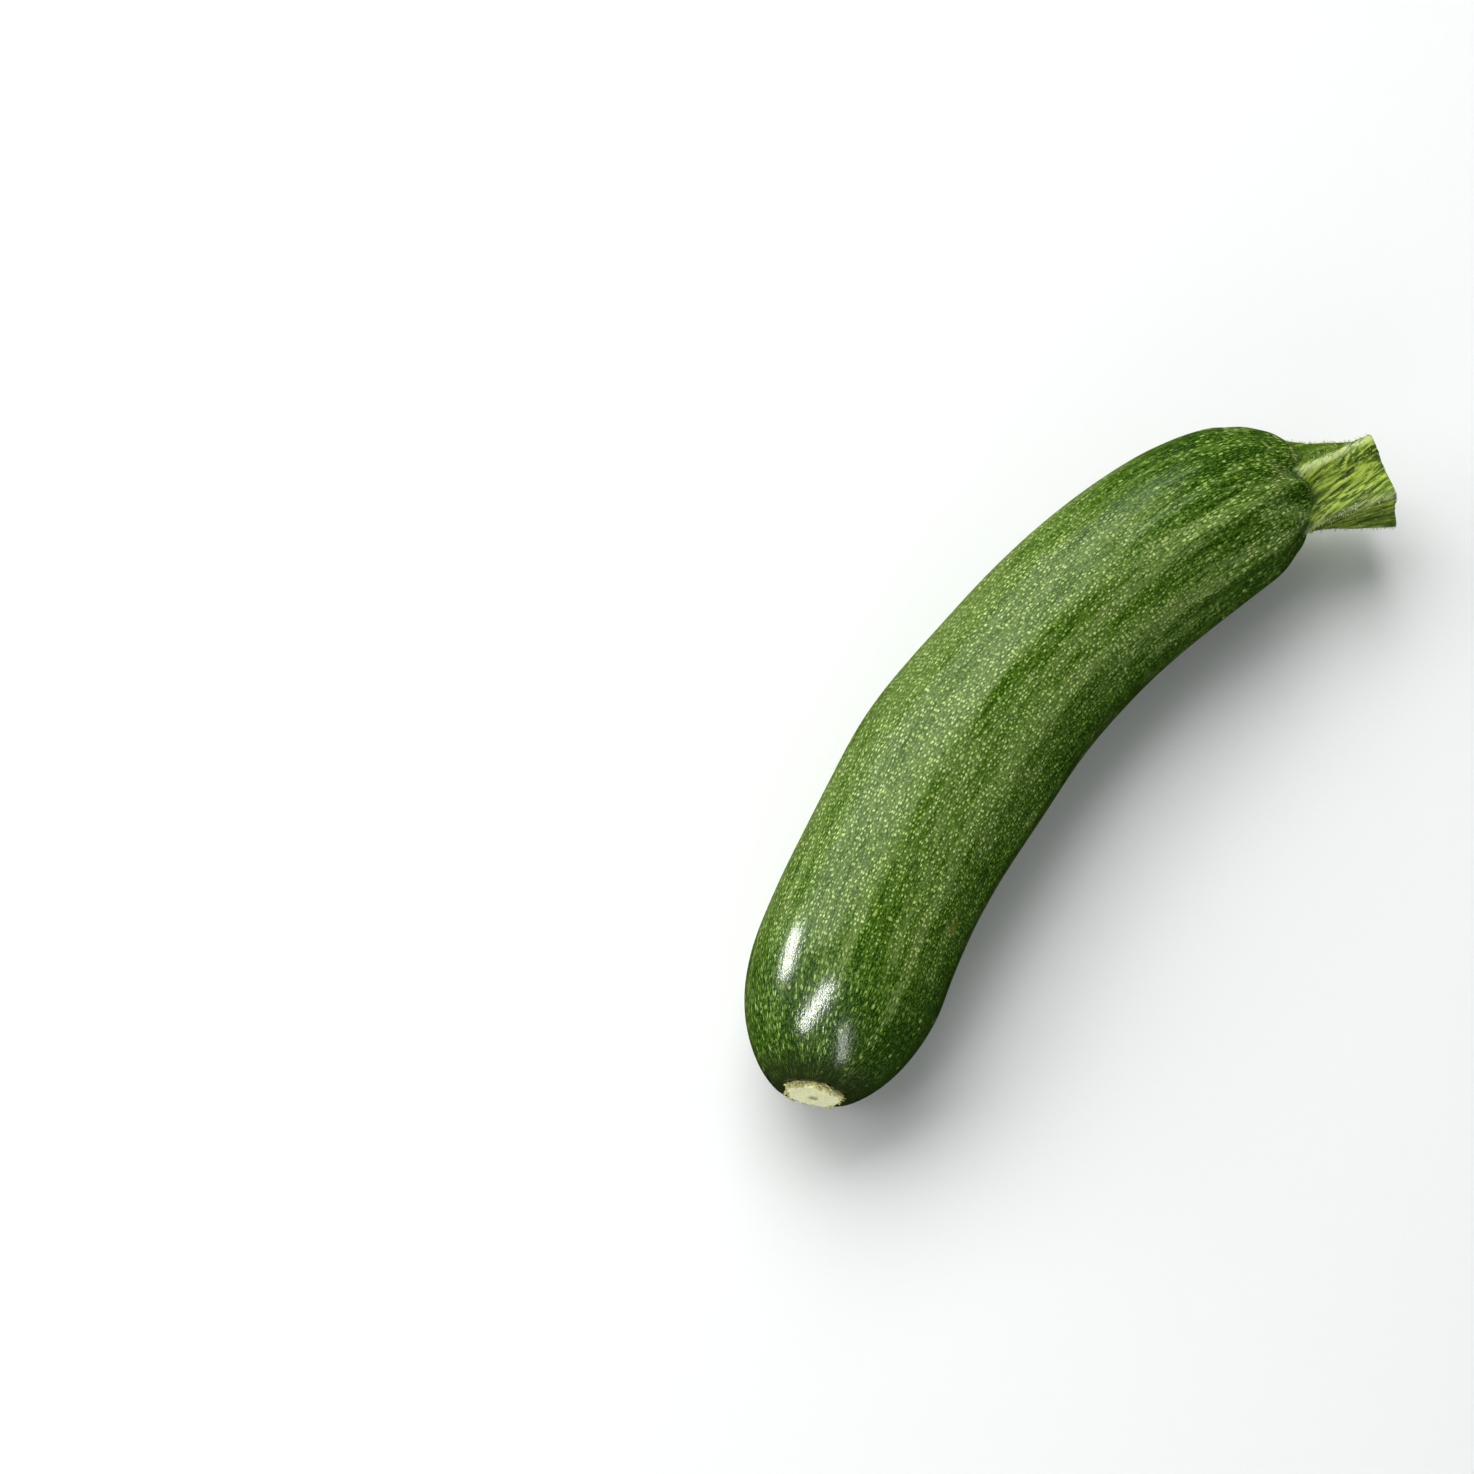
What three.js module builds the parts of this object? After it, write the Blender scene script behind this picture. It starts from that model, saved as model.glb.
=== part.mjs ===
// A zucchini lying on its side: a bowed fruit, its fluted stem and the scar of its blossom.
// Millimetres, +Z up. The chord of the fruit runs along +X, from the blossom end to the stem end,
// and the fruit bows out towards +Y. The origin is the middle of the footprint, on the ground.
import * as THREE from "three";

// The middle line of the fruit, seen from above
const CHORD = 186.3;
const BLOSSOM_HANDLE = { x: 53.3, y: 26.6 };
const STEM_HANDLE = { x: 143.7, y: 30.9 };
const FOOTPRINT_MIDDLE = { x: 101.1, y: 9.4 };

// The girth of the fruit
const BELLY_RADIUS = 22.1;
const SWELL = { height: 1.1, along: 83, spread: 18 };
const BLOSSOM_CAP = 34;
const BLOSSOM_SEAT_RADIUS = 8.6;
const SHOULDER = { length: 60, fullness: 3.4 };
const STEM_SEAT_RADIUS = 10;
const FLAT_SPOT_DEPTH = 0.4;

// The lengthwise ridges, by their turn around the fruit: 0 is up, 90 is the inner side of the bow
const RIDGE_TURNS = [-35, 13, 41, 76, 112, 148, 184, 220, 256, 291];
const RIDGE_SHARPNESS = 40;
const RIDGE_SHARE = { belly: 0.5, neck: 0.8, span: 45 };

// The notches in the shoulder, one under each ridge of the stem
const STEM_RIDGES = 5;
const FIRST_STEM_RIDGE = 8;
const NOTCH = { depth: 1.8, width: 12, span: 13 };

// The stem
const STEM_LENGTH = 20.3;
const STEM_ASIDE = 1.4;
const STEM_HEADING = -44;
const STEM_KNEE = 4;
const STEM_TWIST = -35;
const STEM_WAIST_RADIUS = 10.8;
const ROOT_FLARE = { out: 2.1, span: 0.5 };
const CUT_FLARE = 1.4;
const GROOVE_DEPTH = { root: 2, cut: 3.6 };
const GROOVE_HOLLOW = 0.8;
const GROOVE_RIB = { height: 0.7, narrowness: 6 };
const CUT_SLANT = { slope: 0.25, shortSide: -70 };
const SEAT_GAP = 0.3;

// The scar of the blossom: radius and height of each step of its outline
const SCAR_GAP = 0.3;
const SCAR_OUTLINE = [
  { out: 6.4, up: 0 },
  { out: 7, up: 0.6 },
  { out: 6.9, up: 1.2 },
  { out: 6.2, up: 1.7 },
  { out: 4.4, up: 1.5 },
  { out: 1.7, up: 1.4 },
  { out: 1.2, up: 1.9 },
  { out: 0.6, up: 2.1 },
];
const SCAR_WAVES = [
  { count: 7, depth: 0.035, start: 34 },
  { count: 12, depth: 0.025, start: 115 },
];

// How finely the skins are divided
const FRUIT_SIDES = 60;
const BLOSSOM_STEPS = 10;
const BELLY_STEPS = 20;
const SHOULDER_STEPS = 14;
const SHOULDER_SPACING = 1.5;
const STEM_STEPS = 11;
const STEM_SEAT_SHARES = [0.56, 0.65, 0.73, 0.8, 0.87, 0.94];
const CUT_FACE_SHARES = [0.93, 0.5];
const SCAR_SIDES = 30;

const UP = new THREE.Vector3(0, 0, 1);
const radians = THREE.MathUtils.degToRad;
const { clamp, lerp, smoothstep } = THREE.MathUtils;

const spine = new THREE.CubicBezierCurve3(
  new THREE.Vector3(0, 0, 0),
  new THREE.Vector3(BLOSSOM_HANDLE.x, BLOSSOM_HANDLE.y, 0),
  new THREE.Vector3(STEM_HANDLE.x, STEM_HANDLE.y, 0),
  new THREE.Vector3(CHORD, 0, 0),
);
spine.arcLengthDivisions = 400;
const LENGTH = spine.getLength();

const stemFoot = spine.getPoint(1);
const stemWay = new THREE.Vector3(1, 0, 0).applyAxisAngle(UP, radians(STEM_HEADING));
const stemLine = new THREE.QuadraticBezierCurve3(
  stemFoot,
  stemFoot.clone().addScaledVector(spine.getTangent(1), STEM_KNEE),
  stemFoot.clone().addScaledVector(stemWay, STEM_LENGTH),
);

function belly(along) {
  return BELLY_RADIUS + SWELL.height * Math.exp(-(((along - SWELL.along) / SWELL.spread) ** 2));
}

// The point at a distance along the middle line, out from it, and turned about it in degrees.
// Past the fruit the middle line is the stem's, and it runs straight on past either end.
function place(along, out, turn) {
  const line = along > LENGTH ? stemLine : spine;
  const from = along > LENGTH ? LENGTH : 0;
  const length = line.getLength();
  const share = clamp((along - from) / length, 0, 1);
  const forward = line.getTangentAt(share);
  const inward = forward.clone().cross(UP);
  const point = line.getPointAt(share);
  point.addScaledVector(forward, along - from - share * length);
  point.addScaledVector(inward, out * Math.sin(radians(turn)));
  const height = belly(along) - FLAT_SPOT_DEPTH + out * Math.cos(radians(turn));
  return point.setZ(Math.max(0, height));
}

function turns(sides) {
  return Array.from({ length: sides }, (_, side) => (360 * side) / sides);
}

// One closed skin over rings of points, from the first ring's middle to the last ring's middle
function skin(first, rings, last) {
  const sides = rings[0].length;
  const points = [first, ...rings.flat(), last];
  const index = (ring, side) => 1 + ring * sides + (side % sides);
  const faces = [];
  for (let side = 0; side < sides; side += 1) {
    faces.push(0, index(0, side + 1), index(0, side));
    for (let ring = 0; ring + 1 < rings.length; ring += 1) {
      faces.push(index(ring, side), index(ring, side + 1), index(ring + 1, side));
      faces.push(index(ring, side + 1), index(ring + 1, side + 1), index(ring + 1, side));
    }
    const end = rings.length - 1;
    faces.push(points.length - 1, index(end, side), index(end, side + 1));
  }
  const geometry = new THREE.BufferGeometry().setFromPoints(points);
  geometry.setIndex(faces);
  geometry.computeVertexNormals();
  return geometry;
}

// Radius of a rounded polygon whose corners stand on the ridges, with 1 at a corner
function ridgedRound(turn) {
  let sum = 0;
  RIDGE_TURNS.forEach((ridge, i) => {
    const next = RIDGE_TURNS[i + 1] ?? RIDGE_TURNS[0] + 360;
    const facing = Math.cos(radians(turn - (ridge + next) / 2));
    const flat = Math.cos(radians((next - ridge) / 2));
    sum += (Math.max(0, facing) / flat) ** RIDGE_SHARPNESS;
  });
  return (sum / 2) ** (-1 / RIDGE_SHARPNESS);
}

function notches(along, turn) {
  const pitch = 360 / STEM_RIDGES;
  const past = THREE.MathUtils.euclideanModulo(turn - FIRST_STEM_RIDGE + pitch / 2, pitch);
  const aside = (past - pitch / 2) / NOTCH.width;
  const grown = smoothstep(along, LENGTH - NOTCH.span, LENGTH);
  return NOTCH.depth * grown * Math.exp(-(aside ** 2));
}

function ridgeShare(along) {
  const grown = smoothstep(along, LENGTH - RIDGE_SHARE.span, LENGTH);
  return lerp(RIDGE_SHARE.belly, RIDGE_SHARE.neck, grown);
}

// Radius of the fruit at a turn, where its plain outline has the radius out
function fruitRadius(along, out, turn) {
  const ridged = 1 - ridgeShare(along) * (1 - ridgedRound(turn));
  const seat = smoothstep(along, 0, BLOSSOM_CAP / 2);
  return out * lerp(1, ridged, seat) - notches(along, turn);
}

// Plain outline of the blossom end: a share of an ellipse, cut flat where the scar sits
function blossomOutline(share) {
  const start = Math.asin(BLOSSOM_SEAT_RADIUS / belly(0));
  const angle = lerp(start, Math.PI / 2, share);
  const along = BLOSSOM_CAP * (Math.cos(start) - Math.cos(angle));
  return { along, out: belly(along) * Math.sin(angle) };
}

// Plain outline of the stem end: a share of a full ellipse, cut flat where the stem sits
const SHOULDER_POWER = 2 / SHOULDER.fullness;
const SHOULDER_ANGLE = Math.acos((STEM_SEAT_RADIUS / belly(LENGTH)) ** (1 / SHOULDER_POWER));
const SHOULDER_START = LENGTH - SHOULDER.length * Math.sin(SHOULDER_ANGLE) ** SHOULDER_POWER;

function shoulderOutline(share) {
  const angle = SHOULDER_ANGLE * share ** SHOULDER_SPACING;
  const along = SHOULDER_START + SHOULDER.length * Math.sin(angle) ** SHOULDER_POWER;
  return { along, out: belly(along) * Math.cos(angle) ** SHOULDER_POWER };
}

function fruitOutline() {
  const outline = [];
  for (let step = 0; step < BLOSSOM_STEPS; step += 1) {
    outline.push(blossomOutline(step / BLOSSOM_STEPS));
  }
  const start = blossomOutline(1).along;
  for (let step = 0; step < BELLY_STEPS; step += 1) {
    const along = lerp(start, SHOULDER_START, step / BELLY_STEPS);
    outline.push({ along, out: belly(along) });
  }
  for (let step = 0; step <= SHOULDER_STEPS; step += 1) {
    outline.push(shoulderOutline(step / SHOULDER_STEPS));
  }
  return outline;
}

function fruit() {
  const rings = fruitOutline().map(({ along, out }) =>
    turns(FRUIT_SIDES).map((turn) => place(along, fruitRadius(along, out, turn), turn)),
  );
  return skin(place(0, 0, 0), rings, place(LENGTH, 0, 0));
}

// How far along the fruit its shoulder or its seat face lies, at a radius and a turn
function seatAlong(radius, turn) {
  const radiusAt = (share) => {
    const { along, out } = shoulderOutline(share);
    return fruitRadius(along, out, turn);
  };
  let low = 0;
  let high = 1;
  if (radius <= radiusAt(high)) {
    return LENGTH;
  }
  for (let halving = 0; halving < 30; halving += 1) {
    const middle = (low + high) / 2;
    if (radiusAt(middle) > radius) {
      low = middle;
    } else {
      high = middle;
    }
  }
  return shoulderOutline(high).along;
}

// Radius of the stem at a share of its length: five ridges that wind round it, with a rib in each groove
function stemRadius(share, turn) {
  const wave = Math.cos(radians(STEM_RIDGES * (turn - FIRST_STEM_RIDGE - STEM_TWIST * share)));
  const root = ROOT_FLARE.out * Math.max(0, 1 - share / ROOT_FLARE.span) ** 2 * (0.5 + wave / 2);
  const ridge = STEM_WAIST_RADIUS + root + CUT_FLARE * share ** 2;
  const groove = lerp(GROOVE_DEPTH.root, GROOVE_DEPTH.cut, share) * (0.5 - wave / 2) ** GROOVE_HOLLOW;
  const rib = GROOVE_RIB.height * Math.max(0, -wave) ** GROOVE_RIB.narrowness;
  return ridge - groove + rib;
}

function stemSeat(radius, turn) {
  return SEAT_GAP + seatAlong(Math.max(0, radius - SEAT_GAP), turn);
}

function stemCut(radius, turn) {
  const lean = CUT_SLANT.slope * radius * Math.cos(radians(turn - CUT_SLANT.shortSide));
  return LENGTH + STEM_LENGTH - lean;
}

// The point at a radius and a turn of the stem, which stands a little to the inner side of the
// fruit's middle line: alongAt gives its place along that line.
function placeBeside(alongAt, radius, turn) {
  const up = radius * Math.cos(radians(turn));
  const inward = radius * Math.sin(radians(turn)) + STEM_ASIDE;
  const out = Math.hypot(up, inward);
  const aroundFruit = THREE.MathUtils.radToDeg(Math.atan2(inward, up));
  return place(alongAt(out, aroundFruit), out, aroundFruit);
}

function stem() {
  const around = turns(FRUIT_SIDES);
  const ring = (alongAt, radiusAt) =>
    around.map((turn) => placeBeside(alongAt, radiusAt(turn), turn));
  const seat = STEM_SEAT_SHARES.map((share) =>
    ring(stemSeat, (turn) => share * stemRadius(0, turn)),
  );
  const side = Array.from({ length: STEM_STEPS + 1 }, (_, step) => {
    const share = step / STEM_STEPS;
    const along = (out, turn) => lerp(stemSeat(out, turn), stemCut(out, turn), share);
    return ring(along, (turn) => stemRadius(share, turn));
  });
  const cut = CUT_FACE_SHARES.map((share) =>
    ring(stemCut, (turn) => share * stemRadius(1, turn)),
  );
  return skin(placeBeside(stemSeat, 0, 0), [...seat, ...side, ...cut], placeBeside(stemCut, 0, 0));
}

// The scar stands out from the blossom end, so its rings run from its face back to its seat
function blossomScar() {
  const rings = SCAR_OUTLINE.map(({ out, up }) =>
    turns(SCAR_SIDES).map((turn) => {
      const torn = SCAR_WAVES.map((w) => w.depth * Math.sin(radians(w.count * turn + w.start)));
      const radius = out * (1 + torn[0] + torn[1]);
      return place(-SCAR_GAP - up, radius, turn);
    }),
  );
  const face = SCAR_OUTLINE[SCAR_OUTLINE.length - 1];
  return skin(place(-SCAR_GAP - face.up, 0, 0), rings.reverse(), place(-SCAR_GAP, 0, 0));
}

function named(name, geometry, color, roughness) {
  const material = new THREE.MeshStandardMaterial({ color, roughness, metalness: 0 });
  const mesh = new THREE.Mesh(geometry, material);
  mesh.name = name;
  return mesh;
}

const zucchini = new THREE.Group();
zucchini.add(named("fruit", fruit(), 0x3d5c1c, 0.3));
zucchini.add(named("stem", stem(), 0x6e8433, 0.6));
zucchini.add(named("blossom_scar", blossomScar(), 0xcbcfa1, 0.8));
zucchini.position.set(-FOOTPRINT_MIDDLE.x, -FOOTPRINT_MIDDLE.y, 0);

export default zucchini;
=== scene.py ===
"""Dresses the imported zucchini: its ridged fruit, its fluted stem and the scar that the blossom left."""

import logging
import math
import random
from collections.abc import Callable, Sequence
from dataclasses import dataclass, field
from enum import Enum

import bpy
from mathutils import Matrix, Vector, noise


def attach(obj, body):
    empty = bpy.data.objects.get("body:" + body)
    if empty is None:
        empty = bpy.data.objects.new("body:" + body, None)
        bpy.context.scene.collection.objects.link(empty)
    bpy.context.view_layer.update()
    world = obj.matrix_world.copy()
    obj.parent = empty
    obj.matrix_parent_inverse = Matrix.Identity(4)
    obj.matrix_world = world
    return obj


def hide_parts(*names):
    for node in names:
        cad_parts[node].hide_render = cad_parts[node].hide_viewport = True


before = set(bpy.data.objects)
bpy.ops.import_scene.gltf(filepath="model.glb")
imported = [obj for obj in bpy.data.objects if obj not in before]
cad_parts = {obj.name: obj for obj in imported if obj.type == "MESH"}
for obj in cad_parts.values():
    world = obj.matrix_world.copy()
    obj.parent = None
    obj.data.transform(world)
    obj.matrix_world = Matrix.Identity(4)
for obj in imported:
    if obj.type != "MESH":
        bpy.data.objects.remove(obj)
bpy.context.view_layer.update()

MM = 0.001
log = logging.getLogger("zucchini")

Colour = tuple[float, float, float]
Waves = tuple[float, float]
Span = tuple[float, float]


class Slot(Enum):
    """The material slots of the record."""

    SKIN = "fruit_skin"
    STEM = "stem"
    SCAR = "blossom_scar"


class Trait(Enum):
    """What a mesh carries for its finish, point by point."""

    STRAIGHT = "straightened"
    MARKS = "marks"
    UNROLLED = "unrolled"
    # On the stem: its darker side with the painted shade, and its inner share, 1 on the side.
    SIDES = "sides"


def blend(start: float, end: float, share: float) -> float:
    """Returns the value at a share of the way from start to end."""
    return start + (end - start) * share


def ease(value: float, start: float, end: float) -> float:
    """Returns 0 before start, 1 after end and a soft step between them."""
    share = min(1.0, max(0.0, (value - start) / (end - start)))
    return share * share * (3 - 2 * share)


def turn_between(turn: float, other: float) -> float:
    """Returns the signed angle in degrees from other to turn, the short way round."""
    return (turn - other + 180) % 360 - 180


def nothing_selected() -> None:
    """Leaves edit mode and deselects every object."""
    if bpy.context.object and bpy.context.object.mode != "OBJECT":
        bpy.ops.object.mode_set(mode="OBJECT")
    bpy.ops.object.select_all(action="DESELECT")


def take_up(piece: bpy.types.Object) -> None:
    """Makes a piece the only selected one and the active one.

    Args:
        piece: The piece to take up.
    """
    nothing_selected()
    piece.select_set(True)
    bpy.context.view_layer.objects.active = piece


def finish_modifier(piece: bpy.types.Object, kind: str, **settings: object) -> None:
    """Adds a modifier with its settings and applies it.

    Args:
        piece: The piece to change.
        kind: The kind of modifier, such as "SUBSURF".
        **settings: The modifier's settings by name.
    """
    take_up(piece)
    modifier = piece.modifiers.new(kind.title(), kind)
    for name, value in settings.items():
        setattr(modifier, name, value)
    bpy.ops.object.modifier_apply(modifier=modifier.name)


def outward(piece: bpy.types.Object) -> None:
    """Merges doubled points and turns every face outwards.

    Args:
        piece: The closed piece.
    """
    take_up(piece)
    bpy.ops.object.mode_set(mode="EDIT")
    bpy.ops.mesh.select_all(action="SELECT")
    bpy.ops.mesh.remove_doubles(threshold=1e-6)
    bpy.ops.mesh.normals_make_consistent(inside=False)
    bpy.ops.object.mode_set(mode="OBJECT")


def hand_over(piece: bpy.types.Object, slot: Slot, material: bpy.types.Material) -> None:
    """Gives a finished piece its material and its place on the one body.

    Args:
        piece: The finished piece.
        slot: The record's slot, which is not used.
        material: The material for the whole piece.
    """
    piece.data.materials.clear()
    piece.data.materials.append(material)
    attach(piece, "root")
    log.info("%s: %d faces", piece.name, len(piece.data.polygons))


@dataclass(frozen=True)
class Station:
    """One ring of a turned shape: its place along the axis and its radius."""

    along: float
    out: float


@dataclass(frozen=True)
class Polar:
    """A point round the straight axis: along it, out from it, and its turn in degrees from the top."""

    along: float
    out: float
    turn: float

    def point(self) -> Vector:
        """Returns the point with the axis laid along X."""
        angle = math.radians(self.turn)
        return Vector((self.along, -self.out * math.sin(angle), self.out * math.cos(angle)))

    @staticmethod
    def of(point: Vector) -> "Polar":
        """Returns the polar place of a point of the straight shape."""
        return Polar(point.x, math.hypot(point.y, point.z), math.degrees(math.atan2(-point.y, point.z)))


def extruded(name: str, stations: Sequence[Station], sides: int) -> bpy.types.Object:
    """Draws a circle out along X through its stations, ring by ring.

    Args:
        name: The name of the new piece.
        stations: The rings in order along the axis.
        sides: How many points each ring has.

    Returns:
        The closed piece, its axis on X.
    """
    nothing_selected()
    first = stations[0]
    bpy.ops.mesh.primitive_circle_add(
        vertices=sides,
        radius=first.out,
        fill_type="NGON",
        location=(first.along, 0, 0),
        rotation=(0, math.pi / 2, 0),
    )
    piece = bpy.context.object
    piece.name = name
    piece.data.name = name
    bpy.ops.object.transform_apply(location=True, rotation=True, scale=True)
    bpy.ops.object.mode_set(mode="EDIT")
    bpy.ops.mesh.select_all(action="SELECT")
    for before, after in zip(stations, stations[1:]):
        step = (after.along - before.along, 0, 0)
        bpy.ops.mesh.extrude_region_move(TRANSFORM_OT_translate={"value": step})
        grow = after.out / before.out
        bpy.ops.transform.resize(value=(1, grow, grow), center_override=(after.along, 0, 0))
    bpy.ops.object.mode_set(mode="OBJECT")
    outward(piece)
    return piece


def mould(piece: bpy.types.Object, rule: Callable[[Polar], Vector]) -> None:
    """Moves every point of a straight piece by a rule of its polar place.

    The ridges, flutes and torn edges change both along and around, which no extrude or resize gives.

    Args:
        piece: The piece, its axis on X.
        rule: Gives the new point for a polar place.
    """
    for vertex in piece.data.vertices:
        vertex.co = rule(Polar.of(vertex.co))
    piece.data.update()


def keep_trait(piece: bpy.types.Object, trait: Trait, rule: Callable[[Vector], Vector]) -> None:
    """Stores a vector on every point of a piece for its finish to read.

    Args:
        piece: The piece that carries the trait.
        trait: Which trait is stored.
        rule: Gives the vector for a point.
    """
    store = piece.data.attributes.new(trait.value, "FLOAT_VECTOR", "POINT")
    for vertex, value in zip(piece.data.vertices, store.data):
        value.vector = rule(vertex.co)


def scattered(name: str, pattern: bpy.types.Object, places: Sequence[Matrix]) -> bpy.types.Object:
    """Copies one small pattern to many places, each copy with its own faces, in one piece.

    Args:
        name: The name of the new piece.
        pattern: The small shape to copy, which is used up.
        places: Where each copy goes, turned and scaled.

    Returns:
        The piece with all the copies.
    """
    corners: list[Vector] = []
    faces: list[list[int]] = []
    for place in places:
        first = len(corners)
        corners.extend(place @ vertex.co for vertex in pattern.data.vertices)
        faces.extend([first + index for index in face.vertices] for face in pattern.data.polygons)
    mesh = bpy.data.meshes.new(name)
    mesh.from_pydata(corners, [], faces)
    mesh.update()
    piece = bpy.data.objects.new(name, mesh)
    bpy.context.collection.objects.link(piece)
    bpy.data.objects.remove(pattern)
    return piece


@dataclass
class Bow:
    """The bowed middle line that the straight shapes are bent along, on the ground plane."""

    chord: float = 186.3 * MM
    blossom_handle: tuple[float, float] = (53.3 * MM, 26.6 * MM)
    stem_handle: tuple[float, float] = (143.7 * MM, 30.9 * MM)
    footprint_middle: tuple[float, float] = (101.1 * MM, 9.4 * MM)
    stem_length: float = 20.3 * MM
    stem_heading: float = -44
    stem_knee: float = 4 * MM
    steps: int = 400
    resolution: int = 256

    def __post_init__(self) -> None:
        """Works out the ends and the length of the fruit's part of the line."""
        middle = Vector((*self.footprint_middle, 0))
        self.start = -middle
        self.end = Vector((self.chord, 0, 0)) - middle
        self.near_start = Vector((*self.blossom_handle, 0)) - middle
        self.near_end = Vector((*self.stem_handle, 0)) - middle
        heading = math.radians(self.stem_heading)
        self.tip = self.end + self.stem_length * Vector((math.cos(heading), math.sin(heading), 0))
        points = [self.at(step / self.steps) for step in range(self.steps + 1)]
        self.length = sum((b - a).length for a, b in zip(points, points[1:]))

    def at(self, share: float) -> Vector:
        """Finds a point of the fruit's part of the line.

        Args:
            share: The share of the curve's parameter, 0 at the blossom end and 1 at the stem end.

        Returns:
            The point on the ground plane.
        """
        rest = 1 - share
        ends = self.start * rest**3 + self.end * share**3
        return ends + self.near_start * 3 * rest**2 * share + self.near_end * 3 * rest * share**2

    def line(self) -> bpy.types.Object:
        """Draws the middle line through the fruit and on through the stem.

        Returns:
            The curve object.
        """
        knee = self.end + (self.end - self.near_end).normalized() * self.stem_knee
        knots = (
            (self.start, self.start, self.near_start),
            (self.end, self.near_end, self.end.lerp(knee, 2 / 3)),
            (self.tip, self.tip.lerp(knee, 2 / 3), self.tip),
        )
        nothing_selected()
        bpy.ops.curve.primitive_bezier_curve_add()
        line = bpy.context.object
        line.location = (0, 0, 0)
        line.data.twist_mode = "Z_UP"
        line.data.resolution_u = self.resolution
        spline = line.data.splines[0]
        spline.bezier_points.add(len(knots) - len(spline.bezier_points))
        for point, (place, before, after) in zip(spline.bezier_points, knots):
            point.handle_left_type = "FREE"
            point.handle_right_type = "FREE"
            point.co = place
            point.handle_left = before
            point.handle_right = after
        return line

    def bend(self, pieces: Sequence[bpy.types.Object]) -> None:
        """Bends straight pieces along the middle line.

        Args:
            pieces: The pieces, their axis on X.
        """
        line = self.line()
        for piece in pieces:
            finish_modifier(piece, "CURVE", object=line, deform_axis="POS_X")
        bpy.data.objects.remove(line)


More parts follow.
